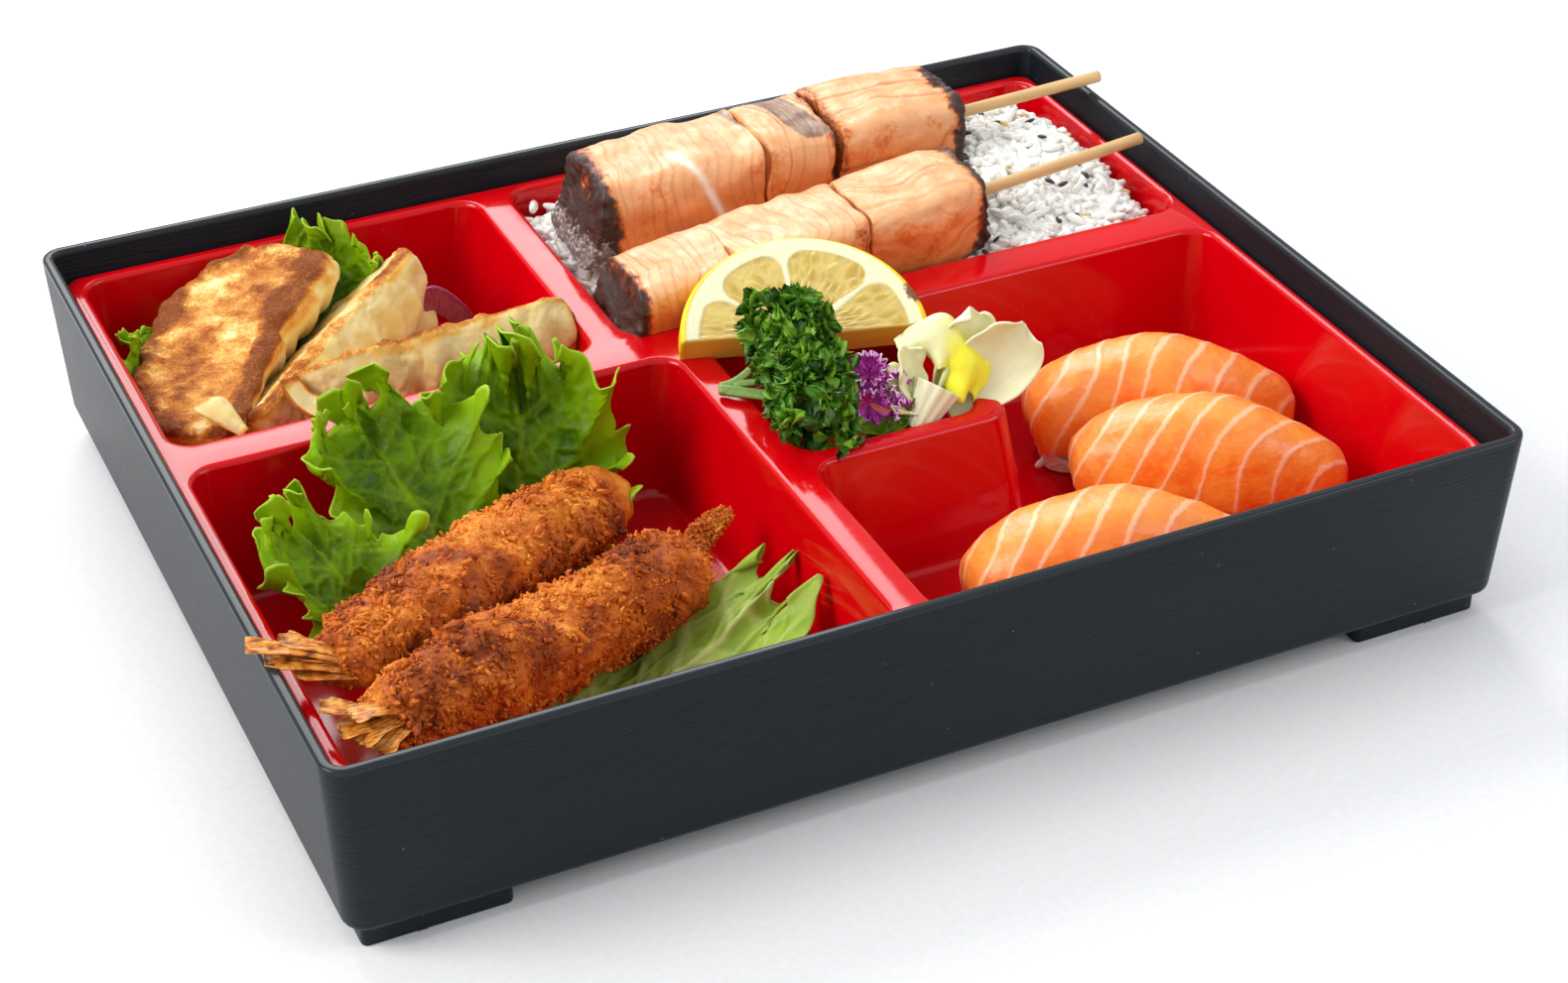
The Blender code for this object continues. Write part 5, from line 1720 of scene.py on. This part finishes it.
def lemon_slice():
    heart = np.array((0.0, 13.0))

    def shape(turn, share):
        outline = half_round(turn)
        from_end = np.minimum(share, 1.0 - share)
        rim = held((from_end - 0.40) / 0.10)
        reach = held(from_end / 0.46) * (0.975 + 0.025 * rim)
        flat = heart + (outline - heart) * reach[:, None]
        depth = LEMON_THICKNESS * step_up(share, 0.44, 0.56)
        across, up = flat[:, 0], flat[:, 1]
        return (
            np.array(LEMON_MIDDLE) + across[:, None] * LEMON_CHORD + up[:, None] * LEMON_UPHILL
            - depth[:, None] * LEMON_FACING
        )

    piece, _ = shaped_ball("half_lemon_slice", 220, 180, shape)
    points, facing = skin(piece)
    across, up, depth = lemon_flat(points)
    radius = np.hypot(across, up)
    from_core = np.hypot(across - CORE[0], up - CORE[1])
    angle = np.degrees(np.arctan2(up - CORE[1], across - CORE[0]))
    angle = np.where(angle < -90.0, angle + 360.0, angle)
    on_face = step_up(np.abs(facing @ LEMON_FACING), 0.6, 0.95)
    wall = np.min([np.abs(angle - membrane) for membrane in MEMBRANES], axis=0)
    wall = np.radians(wall) * from_core - 0.45 + 0.3 * lump(points, 5.0, 7)
    rind_gap = PITH_RADIUS - radius + 0.5 * lump(points, 6.0, 3)
    beyond = (np.maximum(SEGMENT_CORNER - gap, 0.0) for gap in (wall, rind_gap))
    inside = step_up(SEGMENT_CORNER - np.hypot(*beyond), -0.1, 0.5)
    streak = spots(np.radians(angle) * 9.0, from_core / 5.5, depth / 9.0)
    streak = streak + 0.25 * lump(points, 4.0, 8)[:, None]
    _, cell = cell_gap(streak, 1.0, 4)
    vesicle = 1.0 - crest(cell, 0.28)
    swell(piece, on_face * inside * (0.16 * vesicle - 0.30 + 0.22 * lump(points, 4.0, 6)))
    paint(piece, "flesh", inside * on_face)
    paint(piece, "vesicle", vesicle)
    paint(piece, "rind", step_up(radius, RIND_RADIUS, RIND_RADIUS + 1.0))
    paint(piece, "cut", step_up(-(facing @ LEMON_UPHILL), 0.6, 0.9))
    brown = crest(across - 31.0, 3.4) * crest(up - 11.5, 4.2) * crest(depth, 3.6)
    paint(piece, "brown", brown)
    finished(piece, lemon_finish(), "lemon", "lemon_slice")


def half_round(turn):
    """Points round the half disc's outline: its arc, then its straight cut edge, which is
    slightly uneven."""
    arc_share = 0.64
    share = (turn / math.tau) % 1.0
    angle = math.pi * held(share / arc_share)
    line = held((share - arc_share) / (1.0 - arc_share))
    arc = LEMON_RADIUS * spots(np.cos(angle), 0.97 * np.sin(angle))
    edge = spots(LEMON_RADIUS * (-1.0 + 2.0 * line), 0.35 * np.sin(line * 9.0))
    return np.where((share < arc_share)[:, None], arc, edge)


def lemon_finish():
    """Yellow pored rind, cream pith and wet see-through flesh in its membranes."""
    finish = Finish("cut_lemon")
    flesh, vesicle, rind = finish.mark("flesh"), finish.mark("vesicle"), finish.mark("rind")
    cloud = finish.cloud(5.0, detail=3.0)
    fine = finish.cloud(1.0, detail=3.0)
    pulp = finish.mix(finish.spread(cloud, 0.35, 0.65), (0.50, 0.320, 0.040), (0.62, 0.44, 0.095))
    pulp = finish.mix((1.0 - vesicle) * 0.45, pulp, (0.78, 0.63, 0.25))
    pulp = finish.mix(finish.spread(fine, 0.5, 0.8) * 0.25, pulp, (0.42, 0.26, 0.03))
    pith = finish.mix(fine * 0.6, (0.82, 0.80, 0.55), (0.72, 0.69, 0.38))
    deeper = finish.spread(cloud, 0.35, 0.7)
    skin_tone = finish.mix(deeper, (0.88, 0.58, 0.004), (0.92, 0.68, 0.010))
    colour = finish.mix(finish.spread(rind + (fine - 0.5) * 0.25, 0.35, 0.75), pith, skin_tone)
    colour = finish.mix(flesh, colour, pulp)
    colour = finish.mix(finish.mark("cut") * 0.9, colour, (0.95, 0.60, 0.02))
    brown = finish.spread(finish.mark("brown") + (fine - 0.5) * 0.7, 0.30, 0.6)
    colour = finish.mix(brown * 0.95, colour, (0.16, 0.035, 0.003))
    pores = finish.spread(finish.cells(0.9), 0.12, 0.42)
    finish.set(
        Base_Color=colour,
        Roughness=finish.spread(flesh + fine * 0.2, 0.1, 0.9, 0.44, 0.16),
        Coat_Weight=flesh * 0.15,
        Coat_Roughness=0.15,
    )
    finish.soak(0.22, (1.0, 0.8, 0.25), 2.0)
    finish.relief(pores * rind * 0.6 + fine * 0.4 + vesicle * flesh * 0.3, 0.35, 0.7)
    return finish


# ---- parsley ----

PARSLEY_PATH = ((7.0, -8.5, 62.0), (-1.5, -17.0, 60.0), (12.0, -28.0, 56.5), (-3.0, -43.0, 48.8))
STALKS = (
    ((-13.0, -10.5, 48.6), (-6.0, -13.5, 49.0), (4.0, -11.0, 62.0), 1.4),
    ((-13.2, -11.0, 48.4), (-7.0, -16.0, 48.6), (2.0, -22.0, 48.5), 1.5),
    ((-9.5, -12.3, 49.2), (-5.0, -14.5, 51.0), (4.0, -20.0, 51.0), 1.1),
    ((-12.0, -12.5, 48.3), (-6.0, -18.0, 48.4), (2.0, -24.0, 48.0), 1.1),
)


def leaflet_patterns():
    """Three curled leaflets, each lobed and crimped like curly parsley."""
    made = []
    for kind in range(3):

        def shape(u, v):
            lobes = 1.0 + 0.45 * np.cos((2.6 + 0.4 * kind) * math.pi * u)
            reach = v * (2.6 + 1.8 * lobes * v)
            side = 2.0 * u * np.sin(math.pi * (0.10 + 0.70 * v)) * (1.0 + 0.12 * np.cos(9.0 * v))
            lift = 1.6 * u**2 * v - 1.9 * v**3 + 0.55 * np.sin(6.0 * u + kind) * v**2
            return spots(reach, side, lift)

        made.append(pattern(shaped_sheet("leaflet", 9, 5, shape)))
    return made


def parsley():
    """Many small curled heads of leaflets on short stalks, around a heart painted dark as the shade
    inside the bunch.
    """
    rng = np.random.default_rng(21)
    heads, per_head = 64, 17
    share = np.linspace(0.02, 0.98, heads) + rng.uniform(-0.02, 0.02, heads)
    turn = rng.uniform(0.0, math.tau, heads)
    radius = rng.uniform(5.4, 8.8, heads) * (1.16 - 0.22 * share - 0.12 * np.sin(math.pi * share))
    middles = round_curve(PARSLEY_PATH, share, turn, radius)
    spread = rng.uniform(2.4, 3.8, heads)
    middle = np.repeat(middles, per_head, axis=0)
    away = unit(np.repeat(middles - curve_at(PARSLEY_PATH, share), per_head, axis=0))
    out = unit(rng.normal(0.0, 1.0, middle.shape) + 0.9 * away)
    places = middle + out * np.repeat(spread, per_head)[:, None] * 0.45
    count = len(places)
    sizes = rng.uniform(0.66, 1.12, (count, 1)) * np.ones((1, 3))
    axes = axes_for(out, rng.normal(0.0, 0.4, out.shape) + away, sizes)
    kinds = leaflet_patterns()
    kind = rng.integers(0, 3, count)
    leaflets = strewn("parsley_leaflets", by_kind(kinds, kind, places, axes))
    green = parsley_green()
    finished(leaflets, green, "parsley_leaf", "parsley")

    def heart(turn, share):
        radius = 6.2 * np.sin(math.pi * share) ** 0.5
        return round_curve(PARSLEY_PATH, 0.04 + 0.92 * share, turn, radius)

    inner, _ = shaped_ball("parsley_heart", 40, 60, heart)
    swell(inner, 1.3 * lump(points_of(inner), 3.0, 2))
    # painted shade: the heart is painted the darkest green, for the shade inside the bunch
    paint(inner, "shade", 0.05)
    finished(inner, green, "parsley_leaf", "parsley")
    stalk_green = parsley_stalk_green()
    for number, (*path, thick) in enumerate(STALKS):

        def stalk(turn, share):
            radius = thick * (1.0 - 0.35 * share) * closing(share, 30.0)
            return round_curve(path, share, turn, radius * (1.0 + 0.12 * np.cos(4.0 * turn)))

        stem, _ = shaped_ball(f"parsley_stalk_{number + 1}", 16, 40, stalk)
        finished(stem, stalk_green, "parsley_leaf", "parsley")


def parsley_green():
    """Dark green, brighter at the leaflets that catch the light."""
    green = Finish("curly_parsley")
    shade = green.mark("shade")
    tone = green.ramp(
        shade * 0.7 + green.cloud(4.0) * 0.5 - 0.1,
        (0.15, (0.018, 0.080, 0.003)), (0.5, (0.080, 0.250, 0.008)), (0.9, (0.29, 0.54, 0.035)))
    green.set(
        Base_Color=tone,
        Roughness=green.spread(green.cloud(1.5), 0.3, 0.7, 0.28, 0.5),
    )
    green.soak(0.08, (0.4, 1.0, 0.2), 1.0)
    green.relief(green.cloud(0.8), 0.25, 0.7)
    return green


def parsley_stalk_green():
    """Pale green with long fibres."""
    green = Finish("parsley_stalk")
    fibres = green.cloud(0.6, green.place((0.2, 1.0, 1.0)), 2.0)
    green.set(
        Base_Color=green.mix(fibres, (0.10, 0.22, 0.03), (0.30, 0.45, 0.10)),
        Roughness=green.spread(fibres, 0.3, 0.7, 0.28, 0.4),
    )
    green.relief(fibres, 0.2, 0.7)
    return green


# ---- flowers ----

# Each petal of the cream flower: its curve, the way its face leans, its width, its cup and
# how yellow it is.
CREAM_PETALS = (
    (((39.0, -33.0, 46.0), (47.0, -29.0, 58.0), (50.0, -31.0, 66.5)),
     (0.3, -0.7, 0.6), 15.0, 3.0, 0.0),
    (((38.0, -37.0, 45.0), (51.0, -38.5, 50.5), (61.0, -37.5, 62.0)),
     (0.2, -0.75, 0.65), 19.5, 3.5, 0.05),
    (((34.0, -37.5, 45.0), (30.0, -34.5, 53.0), (24.5, -32.0, 55.5)),
     (0.5, -0.7, 0.5), 9.0, -2.5, 0.30),
    (((33.0, -38.5, 44.0), (27.5, -37.0, 48.5), (23.5, -35.5, 49.0)),
     (0.5, -0.7, 0.5), 8.0, 2.5, 0.35),
    (((30.0, -29.0, 58.0), (36.0, -31.0, 65.0), (50.5, -38.5, 63.0), (42.5, -42.0, 48.0)),
     (0.15, -0.85, 0.5), 12.5, -4.0, 1.0),
    (((30.0, -36.5, 47.0), (28.5, -33.5, 54.5), (30.5, -31.0, 60.5)),
     (0.4, -0.75, 0.5), 10.0, 2.0, 0.15),
)


def cream_petal():
    """Cream with pale veins, greener at its foot, and yellow on the lip."""
    finish = Finish("cream_petal")
    yellow, run = finish.mark("yellow"), finish.mark("along")
    cloud = finish.cloud(4.0, detail=3.0)
    veins = finish.cloud(0.9, finish.place((0.25, 1.0, 0.25)), 2.0)
    cream = finish.mix(cloud, (0.74, 0.75, 0.42), (0.86, 0.86, 0.64))
    cream = finish.mix(finish.spread(run, 0.45, 0.0) * 0.5, cream, (0.66, 0.72, 0.30))
    yellower = finish.spread(run + cloud * 0.2, 0.42, 0.72)
    lip = finish.mix(yellower, (0.86, 0.87, 0.46), (0.94, 0.86, 0.010))
    finish.set(
        Base_Color=finish.mix(veins * 0.12, finish.mix(yellow, cream, lip), (0.62, 0.60, 0.32)),
        Roughness=finish.spread(cloud, 0.3, 0.7, 0.38, 0.55),
    )
    finish.soak(0.25, (1.0, 0.95, 0.6), 2.0)
    finish.relief(veins, 0.2, 0.6)
    return finish


def cream_flower():
    """A cream flower with a yellow lip, five loose petals and a pale veined tube."""
    finish = cream_petal()
    for number, (path, lean, width, cup, yellow_share) in enumerate(CREAM_PETALS):
        is_lip = yellow_share == 1.0

        def shape(u, v):
            half = width / 2 * np.sin(math.pi * (0.10 + 0.62 * v**0.9)) ** 0.75
            half = half * rounded(v, 0.82, 0.22, 2.4)
            torn = lump(spots(u * 1.2, v * 5.0, number), 1.0, 4)
            half = half * (1.0 + (0.10 + 0.26 * is_lip) * torn * np.abs(u))
            edge = np.maximum(np.abs(u), (v - 0.7) / 0.3)
            wave = (0.9 + 0.9 * is_lip) * edge**3 * np.sin(9.0 * v + 5.0 * u + number * 2.0)
            wave = wave + (1.4 if is_lip else 0.5) * torn
            notch = 1.0 + 0.030 * np.sin(3.4 * u + number) * step_up(v, 0.6, 1.0)
            reach = np.clip(v * notch, 0.0, 1.04)
            return beside_curve(path, reach, u * half, cup * u**2 + wave, lean)

        petal = shaped_sheet(f"cream_petal_{number + 1}", 40, 60, shape)
        paint(petal, "yellow", yellow_share)
        thicken(petal, 0.7)
        swell(petal, 0.25 * rough(points_of(petal), 5.0, number))
        shade_smooth(petal)
        finished(petal, finish, "yellow_petal", "yellow_flower")

    def tube(turn, share):
        radius = (3.4 + 2.8 * share**1.4) * closing(share, 40.0)
        ribs = 1.0 + 0.05 * np.cos(11.0 * turn)
        path = ((28.3, -41.0, 42.0), (31.5, -40.0, 46.0), (36.0, -38.0, 51.5))
        return round_curve(path, share, turn, radius * ribs)

    throat, share = shaped_ball("cream_flower_tube", 66, 40, tube)
    paint(throat, "yellow", 0.0)
    paint(throat, "along", 0.35 + 0.3 * share)
    finished(throat, finish, "yellow_petal", "yellow_flower")


# Each purple blossom's middle, the way it faces and its radius.
PURPLE_BLOSSOMS = (
    ((20.5, -29.5, 54.0), (-0.35, -0.55, 0.75), 5.6),
    ((18.5, -33.5, 48.5), (-0.30, -0.80, 0.30), 5.4),
    ((24.5, -33.0, 51.5), (0.35, -0.75, 0.55), 4.6),
    ((24.0, -37.0, 47.5), (0.30, -0.90, 0.10), 4.0),
)


def purple_petal():
    """Streaked purple, white at its fringed edge."""
    finish = Finish("fringed_purple_petal")
    white = finish.spread(finish.mark("white") + (finish.cloud(1.2) - 0.5) * 0.6, 0.72, 1.0)
    streak = finish.cloud(0.7, detail=3.0)
    purple = finish.mix(finish.spread(streak, 0.35, 0.65), (0.36, 0.012, 0.29), (0.66, 0.085, 0.52))
    finish.set(
        Base_Color=finish.mix(white * 0.9, purple, (0.86, 0.78, 0.88)),
        Roughness=finish.spread(streak, 0.3, 0.7, 0.4, 0.6),
    )
    finish.soak(0.15, (1.0, 0.4, 1.0), 1.0)
    finish.relief(streak, 0.25, 0.7)
    return finish


def purple_flower():
    """A small bunch of fringed purple blossoms with white edges."""
    rng = np.random.default_rng(31)
    finish = purple_petal()
    for number, (middle, facing, radius) in enumerate(PURPLE_BLOSSOMS):
        for petal in range(10):
            turn = math.tau * petal / 5 + rng.uniform(-0.3, 0.3) + number
            tilt = rng.uniform(0.15, 0.6) + 0.8 * (petal >= 5)

            def shape(u, v):
                fringe = 1.0 + 0.16 * np.sin(11.0 * u + turn) * step_up(v, 0.6, 1.0)
                reach = radius * v * fringe / math.hypot(1.0, 0.7 * tilt)
                spread = 0.60 * (0.25 + 0.75 * v) * u
                x = reach * np.cos(turn + spread)
                y = reach * np.sin(turn + spread)
                z = tilt * radius * v**1.4 * 0.8 + 0.7 * np.sin(6.0 * u + turn) * v**2
                return at_place(middle, np.cross(facing, (0.2, 0.3, 1.0)), facing, spots(x, y, z))

            piece = shaped_sheet(f"purple_petal_{number + 1}_{petal + 1}", 38, 12, shape)
            edge = np.maximum(np.abs(marks(piece, "across")) * 0.8, marks(piece, "along"))
            paint(piece, "white", step_up(edge, 0.80, 1.0) * rng.uniform(0.5, 1.1))
            thicken(piece, 0.3)
            finished(piece, finish, "purple_petal", "purple_flower")


ONION_FOOT = (-58.0, 84.3, 10.0)
ONION_RADIUS = 26.0
ONION_HALF_WIDTH = 4.4
ONION_THICKNESS = 1.0


def onion_slice():
    """A thin see-through slice of pickled onion, with its growth lines."""

    def shape(u, v):
        turn = np.radians(20.0 + 140.0 * v)
        radius = ONION_RADIUS + ONION_HALF_WIDTH * u
        x = -0.5 * radius * np.cos(turn)
        y = 0.7 * np.sin(6.0 * v) - 0.8 * u
        z = radius * np.sin(turn) * (1.0 + 0.02 * np.sin(15.0 * v))
        return np.array(ONION_FOOT) + spots(x, y, z)

    piece = shaped_sheet("pickled_onion_slice", 30, 70, shape, ONION_THICKNESS)
    finish = Finish("pickled_onion")
    across = finish.mark("across")
    lines = finish.cloud(0.8, finish.place((1.0, 1.0, 0.2)), 3.0)
    pink = finish.mix(lines, (0.26, 0.022, 0.060), (0.48, 0.12, 0.17))
    finish.set(
        Base_Color=finish.mix(finish.spread(across, 0.5, 1.0) * 0.6, pink, (0.24, 0.015, 0.10)),
        Roughness=finish.spread(lines, 0.3, 0.7, 0.15, 0.35),
    )
    finish.soak(0.3, (1.0, 0.4, 0.5), 2.0)
    finish.relief(lines, 0.2, 0.6)
    finished(piece, finish, "pickled_onion", "onion_slice")


# ---- the whole ----

FLOOR_SIZE = 8.0


def add_floor():
    deselect()
    bpy.ops.mesh.primitive_plane_add(size=FLOOR_SIZE)
    floor = added("studio_floor")
    finish = Finish("pale_paper")
    grain = finish.cloud(2.0)
    paper = finish.ramp(grain, (0.3, (0.80, 0.80, 0.80)), (0.7, (0.84, 0.84, 0.84)))
    finish.set(Base_Color=paper, Roughness=0.9)
    finish.on(floor)


def make_all(make, names, finish):
    for name in names:
        make(name, finish)


add_camera()
add_studio()
add_floor()
outer_box()
insert_tray()

rice()
make_all(skewer, SKEWERS, bamboo())
make_all(salmon_chunk, CHUNKS, grilled_salmon())
dough = fried_dough()
make_all(gyoza, GYOZA, dough)
make_all(flap, FLAPS, dough)
crumb = fried_crumb()
make_all(prawn, PRAWNS, crumb)
torn_end(crumb)
make_all(prawn_tail, TAIL_BLADES, prawn_shell())
fish = raw_salmon()
pressed = rice_surface()
for nigiri in NIGIRI:
    nigiri_slice(nigiri, fish)
    nigiri_rice(nigiri, pressed)
leaf_green = lettuce_green()
make_all(lettuce, LEAVES, leaf_green)
make_all(garnish_leaf, GARNISH_LEAVES, leaf_green)
lemon_slice()
parsley()
cream_flower()
purple_flower()
onion_slice()
